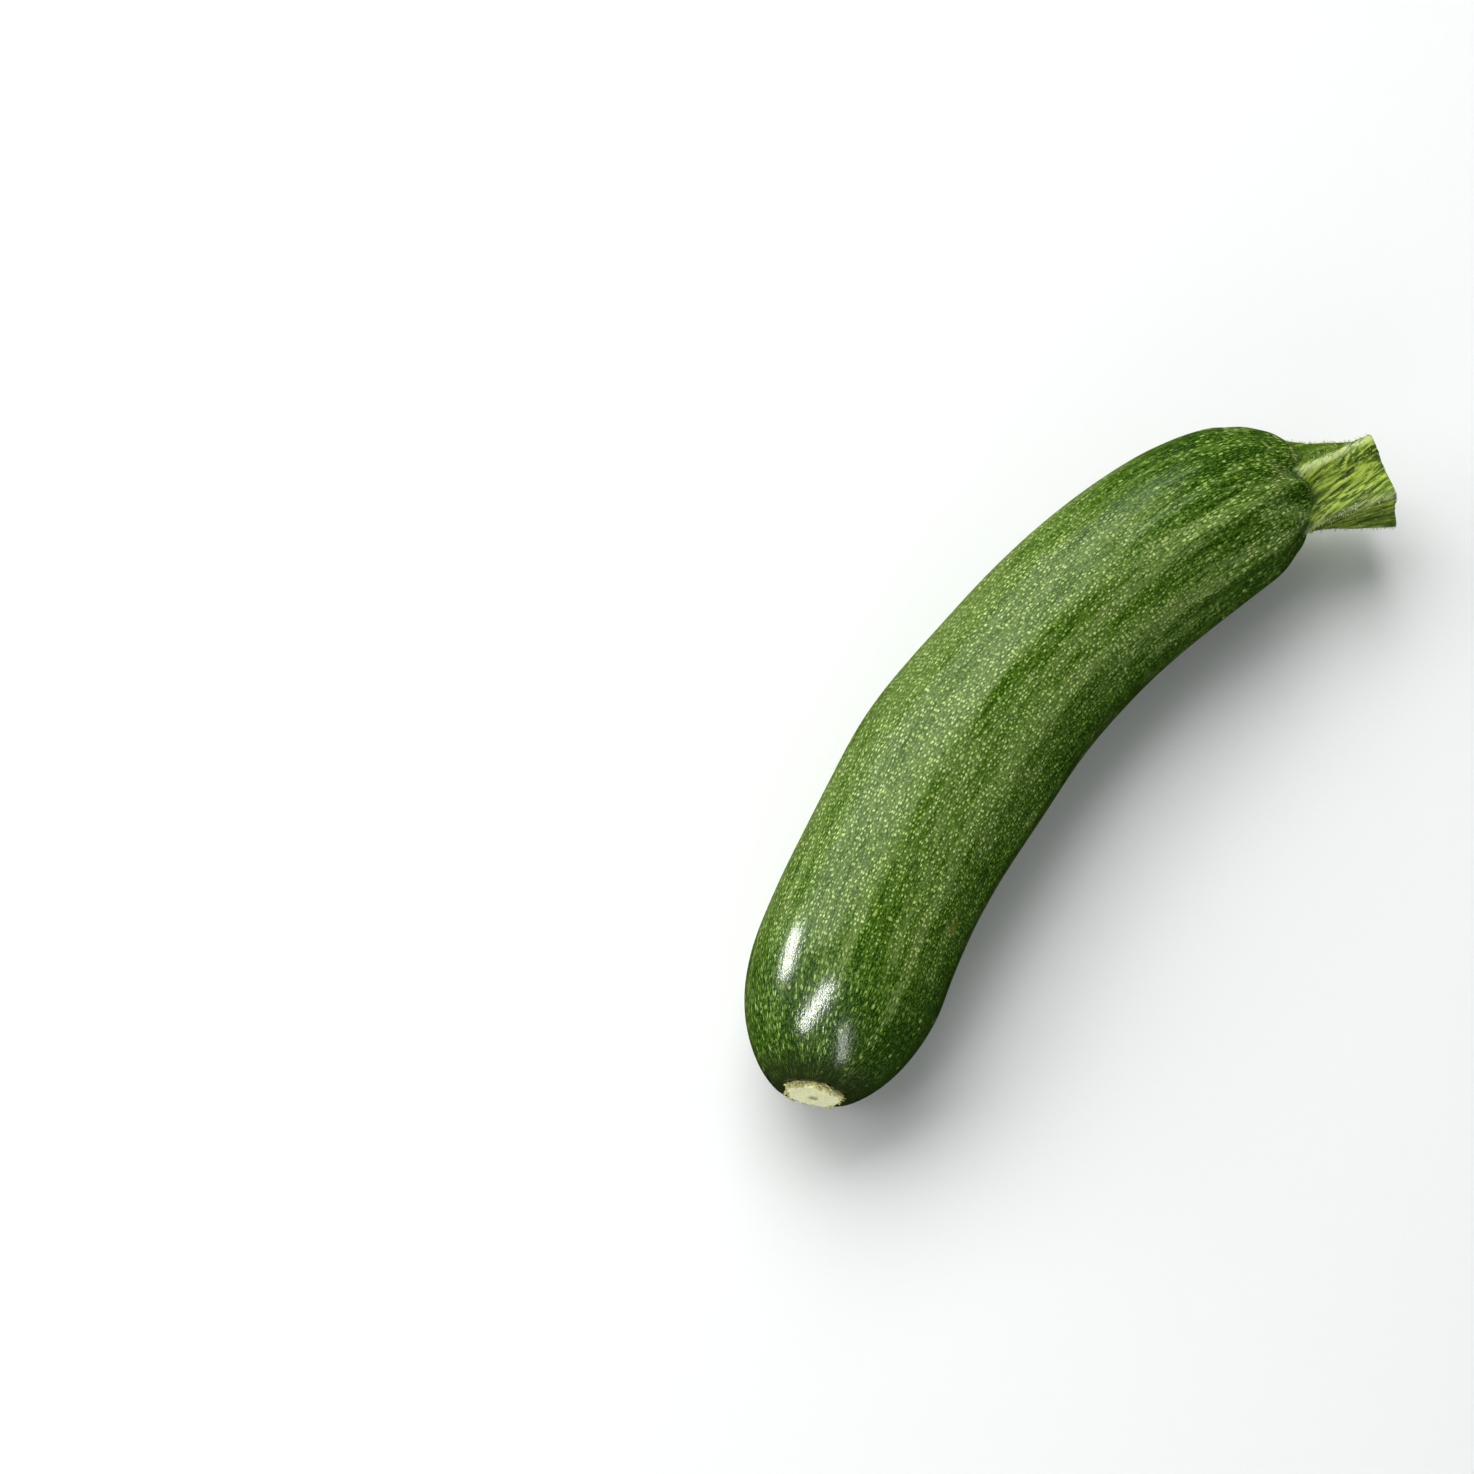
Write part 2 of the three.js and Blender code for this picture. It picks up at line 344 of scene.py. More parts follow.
@dataclass
class FruitForm:
    """The fruit's girth, ridges and notches on the straight axis.

    The terms are the CAD model's. The ridges follow the photograph more closely and wind near the stem.
    """

    length: float
    belly_radius: float = 22.05 * MM
    swell_height: float = 1.1 * MM
    swell_along: float = 83 * MM
    swell_spread: float = 18 * MM
    blossom_cap: float = 34 * MM
    blossom_seat: float = 8.6 * MM
    shoulder_length: float = 60 * MM
    shoulder_fullness: float = 3.4
    stem_seat: float = 10 * MM
    flat_spot: float = 0.4 * MM
    ridge_turns: tuple[float, ...] = (-34, 4, 42, 77, 112, 148, 184, 220, 256, 291)
    ridge_sharpness: float = 36
    ridge_share_belly: float = 0.65
    ridge_share_neck: float = 0.75
    ridge_span: float = 45 * MM
    swirl: float = 20
    swirl_start: float = 112 * MM
    swirl_end: float = 168 * MM
    stem_ridges: int = 5
    first_stem_ridge: float = 8
    notch_depth: float = 1.8 * MM
    notch_width: float = 12
    notch_span: float = 13 * MM

    def belly(self, along: float) -> float:
        """Returns the full radius without ridges at a place along the fruit."""
        swell = math.exp(-(((along - self.swell_along) / self.swell_spread) ** 2))
        return self.belly_radius + self.swell_height * swell

    def lift(self, along: float) -> float:
        """Returns the height of the middle line over the ground."""
        return self.belly(min(along, self.length)) - self.flat_spot

    def unswirled(self, place: Polar) -> float:
        """Returns the turn that the ridge through a place has at the blossom end."""
        return place.turn - self.swirl * ease(place.along, self.swirl_start, self.swirl_end)

    def ridged_round(self, turn: float) -> float:
        """Finds the share of the full radius that the ridged outline has.

        Args:
            turn: The turn in degrees, with the swirl taken out.

        Returns:
            The share, 1 on a ridge and less between two.
        """
        total = 0.0
        for turn_a, turn_b in zip(self.ridge_turns, (*self.ridge_turns[1:], self.ridge_turns[0] + 360)):
            middle = (turn_a + turn_b) / 2
            half = math.radians((turn_b - turn_a) / 2)
            reach = max(0.0, math.cos(math.radians(turn - middle))) / math.cos(half)
            total += reach**self.ridge_sharpness
        return (total / 2) ** (-1 / self.ridge_sharpness)

    def from_notch(self, turn: float) -> float:
        """Returns the degrees to the nearest notch, where a ridge of the stem enters the shoulder."""
        pitch = 360 / self.stem_ridges
        return abs((turn - self.first_stem_ridge + pitch / 2) % pitch - pitch / 2)

    def radius(self, place: Polar) -> float:
        """Finds the radius with its ridges and notches.

        Args:
            place: A place of the plain outline.

        Returns:
            The radius there.
        """
        share = blend(
            self.ridge_share_belly,
            self.ridge_share_neck,
            ease(place.along, self.length - self.ridge_span, self.length),
        )
        grown = ease(place.along, self.blossom_cap / 3, self.blossom_cap * 2)
        facets = blend(1, 1 - share * (1 - self.ridged_round(self.unswirled(place))), grown)
        notch = math.exp(-((self.from_notch(place.turn) / self.notch_width) ** 2))
        near_end = ease(place.along, self.length - self.notch_span, self.length)
        return place.out * facets - self.notch_depth * near_end * notch

    def shoulder(self) -> tuple[float, float, float]:
        """Works out the rounded outline that narrows to the stem.

        Returns:
            The outline's power, its last angle in radians, and how far along it starts.
        """
        power = 2 / self.shoulder_fullness
        far = math.acos((self.stem_seat / self.belly(self.length)) ** (1 / power))
        return power, far, self.length - self.shoulder_length * math.sin(far) ** power

    def shoulder_along(self, out: float) -> float:
        """Finds where the shoulder's outline has a given radius.

        Args:
            out: The radius.

        Returns:
            How far along that is.
        """
        power, far, start = self.shoulder()
        angle = math.acos(min(1.0, out / self.belly(self.length)) ** (1 / power))
        return start + self.shoulder_length * math.sin(min(angle, far)) ** power

    def stations(self) -> list[Station]:
        """Works out the rings of the outline.

        Returns:
            The rings from the blossom end to the stem end.
        """
        cap_steps, belly_steps, shoulder_steps = 20, 58, 30
        rings = [
            Station(0.9 * MM, 0.7 * MM),
            Station(0.8 * MM, 3.0 * MM),
            Station(0.6 * MM, 6.0 * MM),
            Station(0.2 * MM, 7.7 * MM),
        ]
        start = math.asin(self.blossom_seat / self.belly(0))
        for step in range(cap_steps + 1):
            angle = blend(start, math.pi / 2, step / cap_steps)
            along = self.blossom_cap * (math.cos(start) - math.cos(angle))
            rings.append(Station(along, self.belly(along) * math.sin(angle)))
        power, far, shoulder = self.shoulder()
        cap_end = rings[-1].along
        for step in range(1, belly_steps + 1):
            along = blend(cap_end, shoulder, step / belly_steps)
            rings.append(Station(along, self.belly(along)))
        for step in range(1, shoulder_steps + 1):
            angle = far * (step / shoulder_steps) ** 1.5
            along = shoulder + self.shoulder_length * math.sin(angle) ** power
            rings.append(Station(along, self.belly(along) * math.cos(angle) ** power))
        rings.append(Station(self.length + 0.1 * MM, 7.5 * MM))
        rings.append(Station(self.length + 0.1 * MM, 2.0 * MM))
        return rings


class Paint:
    """Builds one procedural material node by node."""

    cell_scatter: float = 0.92

    def __init__(self, name: str) -> None:
        """Starts a material with only its output and its main shader.

        Args:
            name: The material's name.
        """
        self.material = bpy.data.materials.new(name)
        self.material.use_nodes = True
        self.tree = self.material.node_tree
        self.tree.nodes.clear()
        self.surface = self.tree.nodes.new("ShaderNodeBsdfPrincipled")
        output = self.tree.nodes.new("ShaderNodeOutputMaterial")
        self.tree.links.new(self.surface.outputs["BSDF"], output.inputs["Surface"])

    def feed(self, socket: bpy.types.NodeSocket, value: object) -> None:
        """Links a socket, or sets its value where value isn't a socket.

        Args:
            socket: The socket to feed.
            value: The socket, number or colour that feeds it.
        """
        if isinstance(value, bpy.types.NodeSocket):
            self.tree.links.new(value, socket)
        elif isinstance(value, tuple) and len(value) == 3 and socket.type == "RGBA":
            socket.default_value = (*value, 1.0)
        else:
            socket.default_value = value

    def trait(self, trait: Trait) -> bpy.types.NodeSocket:
        """Reads a trait of the mesh.

        Args:
            trait: The trait to read.

        Returns:
            The socket with the trait's vector.
        """
        node = self.tree.nodes.new("ShaderNodeAttribute")
        node.attribute_name = trait.value
        return node.outputs["Vector"]

    def place(self) -> bpy.types.NodeSocket:
        """Returns the place on the object."""
        return self.tree.nodes.new("ShaderNodeTexCoord").outputs["Object"]

    def parts(self, vector: bpy.types.NodeSocket) -> tuple[bpy.types.NodeSocket, ...]:
        """Takes a vector apart.

        Args:
            vector: The vector, or a colour.

        Returns:
            The sockets with its three numbers.
        """
        node = self.tree.nodes.new("ShaderNodeSeparateXYZ")
        self.feed(node.inputs[0], vector)
        return tuple(node.outputs)

    def stretched(self, vector: bpy.types.NodeSocket, grains: Colour) -> bpy.types.NodeSocket:
        """Returns a vector counted in grains of the given lengths.

        Args:
            vector: The vector in metres.
            grains: The length of one grain along each axis, in metres.

        Returns:
            The vector in grains.
        """
        node = self.tree.nodes.new("ShaderNodeMapping")
        self.feed(node.inputs["Vector"], vector)
        node.inputs["Scale"].default_value = tuple(1 / grain for grain in grains)
        return node.outputs["Vector"]

    def calc(
        self, operation: str, first: object, second: object = 0.0, third: object = 0.0
    ) -> bpy.types.NodeSocket:
        """Returns the result of one sum, product or other calculation.

        Args:
            operation: The kind of calculation, such as "MULTIPLY".
            first: The first number or socket.
            second: The second number or socket.
            third: The third number or socket.

        Returns:
            The socket with the result.
        """
        node = self.tree.nodes.new("ShaderNodeMath")
        node.operation = operation
        for socket, value in zip(node.inputs, (first, second, third)):
            self.feed(socket, value)
        return node.outputs[0]

    def step(self, value: object, start: object, end: object) -> bpy.types.NodeSocket:
        """Returns a soft step from 0 at start to 1 at end.

        Args:
            value: The number or socket to read.
            start: Where the step starts.
            end: Where the step ends, which may be below start.

        Returns:
            The socket with the step.
        """
        node = self.tree.nodes.new("ShaderNodeMapRange")
        node.interpolation_type = "SMOOTHSTEP"
        self.feed(node.inputs["Value"], value)
        self.feed(node.inputs["From Min"], start)
        self.feed(node.inputs["From Max"], end)
        return node.outputs["Result"]

    def clouds(self, vector: object, detail: float = 2.0, rough: float = 0.5) -> bpy.types.NodeSocket:
        """Returns soft noise of one grain in size, about 0.5 on average.

        Args:
            vector: The place, counted in grains.
            detail: How many finer layers are added.
            rough: How strong the finer layers are.

        Returns:
            The socket with the noise.
        """
        node = self.tree.nodes.new("ShaderNodeTexNoise")
        self.feed(node.inputs["Vector"], vector)
        node.inputs["Scale"].default_value = 1.0
        node.inputs["Detail"].default_value = detail
        node.inputs["Roughness"].default_value = rough
        return node.outputs["Fac"]

    def swing(self, cloud: bpy.types.NodeSocket, strength: float) -> bpy.types.NodeSocket:
        """Returns noise that swings about 0 by half of strength each way."""
        return self.calc("MULTIPLY_ADD", cloud, strength, -strength / 2)

    def wandering(self, vector: object, reach: float, grain: float = 1.0) -> bpy.types.NodeSocket:
        """Returns a vector pushed about by soft noise, which makes outlines uneven.

        Args:
            vector: The place, counted in cells.
            reach: How far it is pushed, in cells.
            grain: The size of the noise, in cells.

        Returns:
            The socket with the pushed vector.
        """
        cloud = self.tree.nodes.new("ShaderNodeTexNoise")
        self.feed(cloud.inputs["Vector"], vector)
        cloud.inputs["Scale"].default_value = 1 / grain
        cloud.inputs["Detail"].default_value = 1.0
        push = self.tree.nodes.new("ShaderNodeVectorMath")
        push.operation = "MULTIPLY_ADD"
        self.feed(push.inputs[0], cloud.outputs["Color"])
        push.inputs[1].default_value = (reach, reach, reach)
        self.feed(push.inputs[2], vector)
        return push.outputs["Vector"]

    def distance(self, vector: bpy.types.NodeSocket, point: Vector) -> bpy.types.NodeSocket:
        """Measures the distance to a fixed point.

        Args:
            vector: The place in metres.
            point: The fixed point.

        Returns:
            The socket with the distance in metres.
        """
        node = self.tree.nodes.new("ShaderNodeVectorMath")
        node.operation = "DISTANCE"
        self.feed(node.inputs[0], vector)
        node.inputs[1].default_value = point
        return node.outputs["Value"]

    def cells(self, vector: object, flat: bool = False) -> tuple[bpy.types.NodeSocket, bpy.types.NodeSocket]:
        """Returns the distance to the nearest cell's middle, and a number drawn for that cell.

        Args:
            vector: The place, counted in cells.
            flat: Whether only the first two numbers of the place count.

        Returns:
            The sockets with the distance and with the drawn number.
        """
        node = self.tree.nodes.new("ShaderNodeTexVoronoi")
        node.voronoi_dimensions = "2D" if flat else "3D"
        self.feed(node.inputs["Vector"], vector)
        node.inputs["Scale"].default_value = 1.0
        node.inputs["Randomness"].default_value = self.cell_scatter
        return node.outputs["Distance"], self.parts(node.outputs["Color"])[0]

    def mix(self, share: object, first: object, second: object) -> bpy.types.NodeSocket:
        """Returns a colour between two colours.

        Args:
            share: 0 for the first colour, 1 for the second.
            first: The first colour or socket.
            second: The second colour or socket.

        Returns:
            The socket with the mixed colour.
        """
        node = self.tree.nodes.new("ShaderNodeMix")
        node.data_type = "RGBA"
        self.feed(node.inputs[0], share)
        self.feed(node.inputs[6], first)
        self.feed(node.inputs[7], second)
        return node.outputs[2]

    def lay(
        self, under: object, colour: object, share: object, strength: object = 1.0
    ) -> bpy.types.NodeSocket:
        """Lays a colour over the colour so far.

        Args:
            under: The colour so far.
            colour: The colour laid over it.
            share: Where it shows, from 0 to 1.
            strength: How much of it shows where share is 1.

        Returns:
            The socket with the colour.
        """
        return self.mix(self.calc("MULTIPLY", share, strength), under, colour)

    def relief(self, height: bpy.types.NodeSocket, depth: float) -> None:
        """Raises the surface where height is 1.

        Args:
            height: The socket with the height from 0 to 1.
            depth: What a height of 1 means in metres.
        """
        node = self.tree.nodes.new("ShaderNodeBump")
        node.inputs["Distance"].default_value = depth
        node.inputs["Strength"].default_value = 1.0
        self.feed(node.inputs["Height"], height)
        self.tree.links.new(node.outputs["Normal"], self.surface.inputs["Normal"])
        self.tree.links.new(node.outputs["Normal"], self.surface.inputs["Coat Normal"])


@dataclass(frozen=True)
class Blemish:
    """A small brown mark on the skin: where it is and how large."""

    along: float
    turn: float
    size: float
    strength: float = 0.8

    def point(self) -> Vector:
        """Returns the mark's place on the straightened fruit."""
        return Polar(self.along, 22 * MM, self.turn).point()


@dataclass(frozen=True)
class SkinFinish:
    """Waxy dark green skin with pale flecks in lengthwise rows and paler rib streaks, with painted light and
    shade in its tone.
    """

    # Deep, leaf and pale green are picked by the tone, so they carry its painted light and shade as well as
    # the skin's own streaks.
    deep: Colour = (0.005, 0.031, 0.0003)
    leaf: Colour = (0.034, 0.09, 0.001)
    pale: Colour = (0.13, 0.208, 0.045)
    fleck: Colour = (0.26, 0.47, 0.045)
    # Fleck colour where the skin is lit: partly random bright flecks, partly painted light.
    bright_and_lit_fleck: Colour = (0.58, 0.74, 0.25)
    spot: Colour = (0.4, 0.5, 0.12)
    olive: Colour = (0.016, 0.028, 0.002)
    bruise: Colour = (0.2, 0.15, 0.02)
    scuff: Colour = (0.3, 0.36, 0.2)
    fleck_cell: Colour = (1.2 * MM, 0.6 * MM, 1.0)
    dash_cell: Colour = (1.9 * MM, 0.66 * MM, 1.0)
    seam_cell: Colour = (1.0 * MM, 0.68 * MM, 0.68 * MM)
    spot_cell: Colour = (3.4 * MM, 2.6 * MM, 2.6 * MM)
    streak_grain: Colour = (34 * MM, 2.6 * MM, 2.6 * MM)
    brush_grain: Colour = (12 * MM, 0.7 * MM, 0.7 * MM)
    cloud_grain: Colour = (9 * MM, 5 * MM, 5 * MM)
    grit_grain: Colour = (0.5 * MM, 0.34 * MM, 0.34 * MM)
    hair_grain: Colour = (2.4 * MM, 0.32 * MM, 0.32 * MM)
    scuff_grain: Colour = (7 * MM, 0.22 * MM, 0.22 * MM)
    streak_strength: float = 1.2
    cloud_strength: float = 0.7
    grit_light: float = 0.24
    grit_dark: float = 0.5
    hair_light: float = 0.18
    hair_dark: float = 0.55
    fleck_size: float = 0.09
    fleck_spread: float = 0.18
    fleck_growth: float = 0.035
    fleck_blur: float = 0.09
    fleck_core: float = 0.05
    fleck_dim: float = 0.24
    fleck_glow: float = 0.9
    spot_strength: float = 0.85
    ring_strength: float = 0.8
    scuff_strength: float = 0.7
    ragged_reach: float = 2.2
    ragged_core: float = 1.4
    relief_depth: float = 0.045 * MM
    specular: float = 0.03
    wax: float = 0.45
    wax_roughness: float = 0.14
    wax_index: float = 1.4
    blemishes: tuple[Blemish, ...] = (
        Blemish(43.5 * MM, 60, 1.3 * MM),
        Blemish(45.5 * MM, 62, 0.8 * MM),
        Blemish(9 * MM, -52, 0.8 * MM),
        Blemish(76 * MM, -118, 1.3 * MM),
        Blemish(131 * MM, 152, 1.1 * MM),
        Blemish(58 * MM, 205, 1.5 * MM, 0.6),
    )

    def material(self) -> bpy.types.Material:
        """Builds the skin.

        Returns:
            The finished material.
        """
        paint = Paint("waxy_skin")
        straight = paint.trait(Trait.STRAIGHT)
        tone, dashes, scar_ring = paint.parts(paint.trait(Trait.MARKS))
        streaks = paint.clouds(paint.stretched(straight, self.streak_grain), 3.0)
        brush = paint.clouds(paint.stretched(straight, self.brush_grain), 2.0)
        clouds = paint.clouds(paint.stretched(straight, self.cloud_grain), 3.0, 0.6)
        grit = paint.clouds(paint.stretched(straight, self.grit_grain), 2.0, 0.6)
        # shade is how light the skin is: its own streaks and clouds, and the painted light and shade of the
        # tone.
        shade = paint.calc("ADD", tone, paint.swing(streaks, self.streak_strength))
        brushing = paint.calc("MULTIPLY_ADD", dashes, 1.2, 1.3)
        brushed = paint.calc("MULTIPLY", paint.calc("SUBTRACT", brush, 0.5), brushing)
        shade = paint.calc("ADD", shade, brushed)
        shade = paint.calc("ADD", shade, paint.swing(clouds, self.cloud_strength))
        # The ground colour follows shade, so the painted light shows as paler skin and the painted shade as
        # deeper green.
        ground = paint.mix(paint.step(shade, 0.0, 0.6), self.deep, self.leaf)
        ground = paint.mix(paint.step(shade, 0.35, 1.1), ground, self.pale)
        ground = paint.lay(ground, self.fleck, paint.step(grit, 0.48, 0.64), self.grit_light)
        ground = paint.lay(ground, self.deep, paint.step(grit, 0.48, 0.34), self.grit_dark)
        hairs = paint.clouds(paint.stretched(straight, self.hair_grain), 2.0, 0.6)
        ground = paint.lay(ground, self.fleck, paint.step(hairs, 0.52, 0.66), self.hair_light)
        furrows = paint.calc("MULTIPLY_ADD", dashes, 0.15, self.hair_dark)
        ground = paint.lay(ground, self.deep, paint.step(hairs, 0.5, 0.36), furrows)
        flecks = self.flecks(paint, straight, shade, dashes)
        # Flecks turn paler where the tone is high, which is partly random and partly painted light.
        fleck_tint_and_light = paint.step(paint.calc("MULTIPLY_ADD", clouds, 0.6, shade), 0.45, 1.3)
        fleck_tint_and_light = paint.mix(fleck_tint_and_light, self.fleck, self.bright_and_lit_fleck)
        coloured = paint.mix(flecks, ground, fleck_tint_and_light)
        far, drawn = paint.cells(paint.wandering(paint.stretched(straight, self.spot_cell), 0.12, 0.12))
        size = paint.calc("MULTIPLY_ADD", drawn, 0.13, 0.0)
        spots = paint.step(far, paint.calc("ADD", size, 0.07), size)
        coloured = paint.lay(coloured, self.spot, spots, self.spot_strength)
        coloured = paint.lay(coloured, self.olive, scar_ring, self.ring_strength)
        scuffs = paint.clouds(paint.wandering(paint.stretched(straight, self.scuff_grain), 2.0, 6.0), 0.0)
        scuffed = paint.calc("MULTIPLY", paint.step(scuffs, 0.74, 0.8), paint.step(clouds, 0.45, 0.6))
        coloured = paint.lay(coloured, self.scuff, scuffed, self.scuff_strength)
        for blemish in self.blemishes:
            coloured = self.bruised(paint, coloured, straight, grit, blemish)
        paint.feed(paint.surface.inputs["Base Color"], coloured)
        gloss = paint.calc("MULTIPLY_ADD", flecks, 0.05, 0.3)
        gloss = paint.calc("ADD", gloss, paint.calc("MULTIPLY", paint.calc("ADD", scuffed, scar_ring), 0.25))
        paint.feed(paint.surface.inputs["Roughness"], paint.calc("MULTIPLY_ADD", streaks, 0.2, gloss))
        paint.surface.inputs["Specular IOR Level"].default_value = self.specular
        paint.surface.inputs["Coat Weight"].default_value = self.wax
        paint.surface.inputs["Coat Roughness"].default_value = self.wax_roughness
        paint.surface.inputs["Coat IOR"].default_value = self.wax_index
        height = paint.calc("MULTIPLY_ADD", flecks, 0.5, paint.calc("MULTIPLY", grit, 0.6))
        paint.relief(paint.calc("ADD", height, paint.calc("MULTIPLY", brush, 0.9)), self.relief_depth)
        return paint.material

    def bruised(
        self,
        paint: Paint,
        coloured: bpy.types.NodeSocket,
        straight: bpy.types.NodeSocket,
        grit: bpy.types.NodeSocket,
        blemish: Blemish,
    ) -> bpy.types.NodeSocket:
        """Lays one brown mark with a ragged edge over the skin's colour.

        Args:
            paint: The material in the making.
            coloured: The colour so far.
            straight: The straightened place on the fruit.
            grit: Fine noise that makes the edge ragged.
            blemish: The mark.

        Returns:
            The socket with the colour and the mark.
        """
        reach, core = self.ragged_reach * blemish.size, self.ragged_core * blemish.size
        far = paint.calc("MULTIPLY_ADD", grit, reach, paint.distance(straight, blemish.point()))
        mark = paint.step(far, reach, core)
        return paint.lay(coloured, self.bruise, mark, blemish.strength)

    def flecks(
        self,
        paint: Paint,
        straight: bpy.types.NodeSocket,
        shade: bpy.types.NodeSocket,
        dashes: bpy.types.NodeSocket,
    ) -> bpy.types.NodeSocket:
        """Lays the small pale flecks, drawn out to dashes near the ends.

        Args:
            paint: The material in the making.
            straight: The straightened place on the fruit.
            shade: How light the skin is, painted light and shade included, which makes its flecks larger and
                hides them where it is dark.
            dashes: 1 where the flecks are drawn out into dashes.

        Returns:
            The socket with 1 on a fleck and 0 beside it.
        """
        unrolled = paint.trait(Trait.UNROLLED)
        seam = paint.parts(unrolled)[2]
        layers = []
        for vector, cell, flat in (
            (unrolled, self.fleck_cell, True),
            (unrolled, self.dash_cell, True),
            (straight, self.seam_cell, False),
        ):
            far, drawn = paint.cells(paint.wandering(paint.stretched(vector, cell), 0.3, 1.6), flat)
            size = paint.calc("MULTIPLY_ADD", drawn, self.fleck_spread, self.fleck_size)
            # Flecks grow with the tone, so they are larger in the painted light.
            size = paint.calc("ADD", size, paint.calc("MULTIPLY", shade, self.fleck_growth))
            outer = paint.calc("ADD", size, self.fleck_blur)
            dot = paint.step(far, outer, paint.calc("SUBTRACT", size, self.fleck_core))
            rare = paint.calc("MULTIPLY", drawn, drawn)
            light = paint.calc("MULTIPLY_ADD", rare, self.fleck_glow, self.fleck_dim)
            layers.append(paint.calc("MULTIPLY", dot, light))
        chosen = paint.calc("MULTIPLY_ADD", paint.calc("SUBTRACT", layers[1], layers[0]), dashes, layers[0])
        chosen = paint.calc("MULTIPLY_ADD", paint.calc("SUBTRACT", layers[2], chosen), seam, chosen)
        # Flecks fade out where the tone is dark, which includes the painted shade.
        return paint.calc("MULTIPLY", chosen, paint.step(shade, -0.7, 0.4))


@dataclass(frozen=True)
class StemFinish:
    """Fibrous yellow-green stem with pale lengthwise streaks, with painted shade on its lower side and where
    it meets the fruit.
    """

    dark: Colour = (0.035, 0.085, 0.002)
    leaf: Colour = (0.15, 0.27, 0.006)
    light: Colour = (0.52, 0.66, 0.09)
    rib: Colour = (0.55, 0.65, 0.25)
    # Dark green painted shade at the stem's root, where it meets the fruit.
    root: Colour = (0.03, 0.085, 0.01)
    cut: Colour = (0.4, 0.47, 0.17)
    cut_light: Colour = (0.6, 0.66, 0.36)
    pith: Colour = (0.3, 0.3, 0.09)
    bundle: Colour = (0.72, 0.76, 0.48)
    bundle_cell: Colour = (1.3 * MM, 1.3 * MM, 1.3 * MM)
    cut_grain: Colour = (0.9 * MM, 0.9 * MM, 0.9 * MM)
    fibre_grain: Colour = (6 * MM, 0.6 * MM, 0.6 * MM)
    streak_grain: Colour = (9 * MM, 2.2 * MM, 2.2 * MM)
    blot_grain: Colour = (1.6 * MM, 0.9 * MM, 0.9 * MM)
    speck_cell: Colour = (1.3 * MM, 0.8 * MM, 0.8 * MM)
    relief_depth: float = 0.2 * MM
    specular: float = 0.09

    def material(self) -> bpy.types.Material:
        """Builds the stem's surface.

        Returns:
            The finished material.
        """
        paint = Paint("stem_fibre")
        straight = paint.trait(Trait.STRAIGHT)
        crest, root, cut = paint.parts(paint.trait(Trait.MARKS))
        dark_and_shaded_side, inner, _ = paint.parts(paint.trait(Trait.SIDES))
        fibres = paint.clouds(paint.stretched(straight, self.fibre_grain), 3.0, 0.6)
        streaks = paint.clouds(paint.stretched(straight, self.streak_grain), 2.0)
        blots = paint.clouds(paint.stretched(straight, self.blot_grain), 3.0, 0.6)
        coloured = paint.mix(paint.step(streaks, 0.36, 0.58), self.dark, self.leaf)
        coloured = paint.mix(paint.step(blots, 0.5, 0.72), coloured, self.dark)
        coloured = paint.lay(coloured, self.light, paint.step(fibres, 0.47, 0.6), 0.82)
        coloured = paint.lay(coloured, self.light, paint.step(streaks, 0.54, 0.7), 0.6)
        coloured = paint.lay(coloured, self.dark, paint.step(fibres, 0.47, 0.36), 0.72)
        # A darker copy of the stem's colours: its own darker green behind the first ridge, and painted shade
        # on the lower side.
        shaded = paint.lay(self.dark, self.leaf, paint.step(blots, 0.42, 0.66), 0.5)
        shaded = paint.lay(shaded, self.light, paint.step(fibres, 0.54, 0.66), 0.4)
        coloured = paint.lay(coloured, shaded, dark_and_shaded_side, 0.9)
        coloured = paint.lay(coloured, self.rib, crest, paint.step(fibres, 0.3, 0.5))
        far, drawn = paint.cells(paint.wandering(paint.stretched(straight, self.speck_cell), 0.3, 1.2))
        speck_edge = paint.calc("MULTIPLY_ADD", drawn, 0.2, 0.12)
        specks = paint.step(far, speck_edge, paint.calc("MULTIPLY", drawn, 0.16))
        coloured = paint.lay(coloured, self.rib, specks, 0.6)
        # Painted shade where the stem meets the fruit.
        coloured = paint.mix(root, coloured, self.root)
        coloured = paint.lay(coloured, self.cut_face(paint, inner), cut, 0.95)
        paint.feed(paint.surface.inputs["Base Color"], coloured)
        paint.feed(paint.surface.inputs["Roughness"], paint.calc("MULTIPLY_ADD", blots, 0.25, 0.42))
        paint.surface.inputs["Specular IOR Level"].default_value = self.specular
        height = paint.calc("MULTIPLY_ADD", fibres, 0.7, paint.calc("MULTIPLY_ADD", blots, 0.5, specks))
        paint.relief(height, self.relief_depth)
        return paint.material

    def cut_face(self, paint: Paint, inner: bpy.types.NodeSocket) -> bpy.types.NodeSocket:
        """Colours the cut face: a mottled pale ring with light bundles round a darker pith.

        Args:
            paint: The material in the making.
            inner: 1 at the rim, 0 in the middle of the face.

        Returns:
            The socket with the colour.
        """
        mottle = paint.clouds(paint.stretched(paint.place(), self.cut_grain), 3.0, 0.65)
        face = paint.mix(paint.step(mottle, 0.38, 0.62), self.cut, self.cut_light)
        wavering = paint.calc("MULTIPLY_ADD", mottle, 0.3, inner)
        face = paint.lay(face, self.pith, paint.step(wavering, 0.62, 0.4), 0.85)
        far, drawn = paint.cells(paint.stretched(paint.place(), self.bundle_cell))
        dots = paint.step(far, paint.calc("MULTIPLY_ADD", drawn, 0.15, 0.22), 0.1)
        ring = paint.calc("MULTIPLY", paint.step(inner, 0.45, 0.6), paint.step(inner, 0.95, 0.82))
        return paint.lay(face, self.bundle, dots, ring)


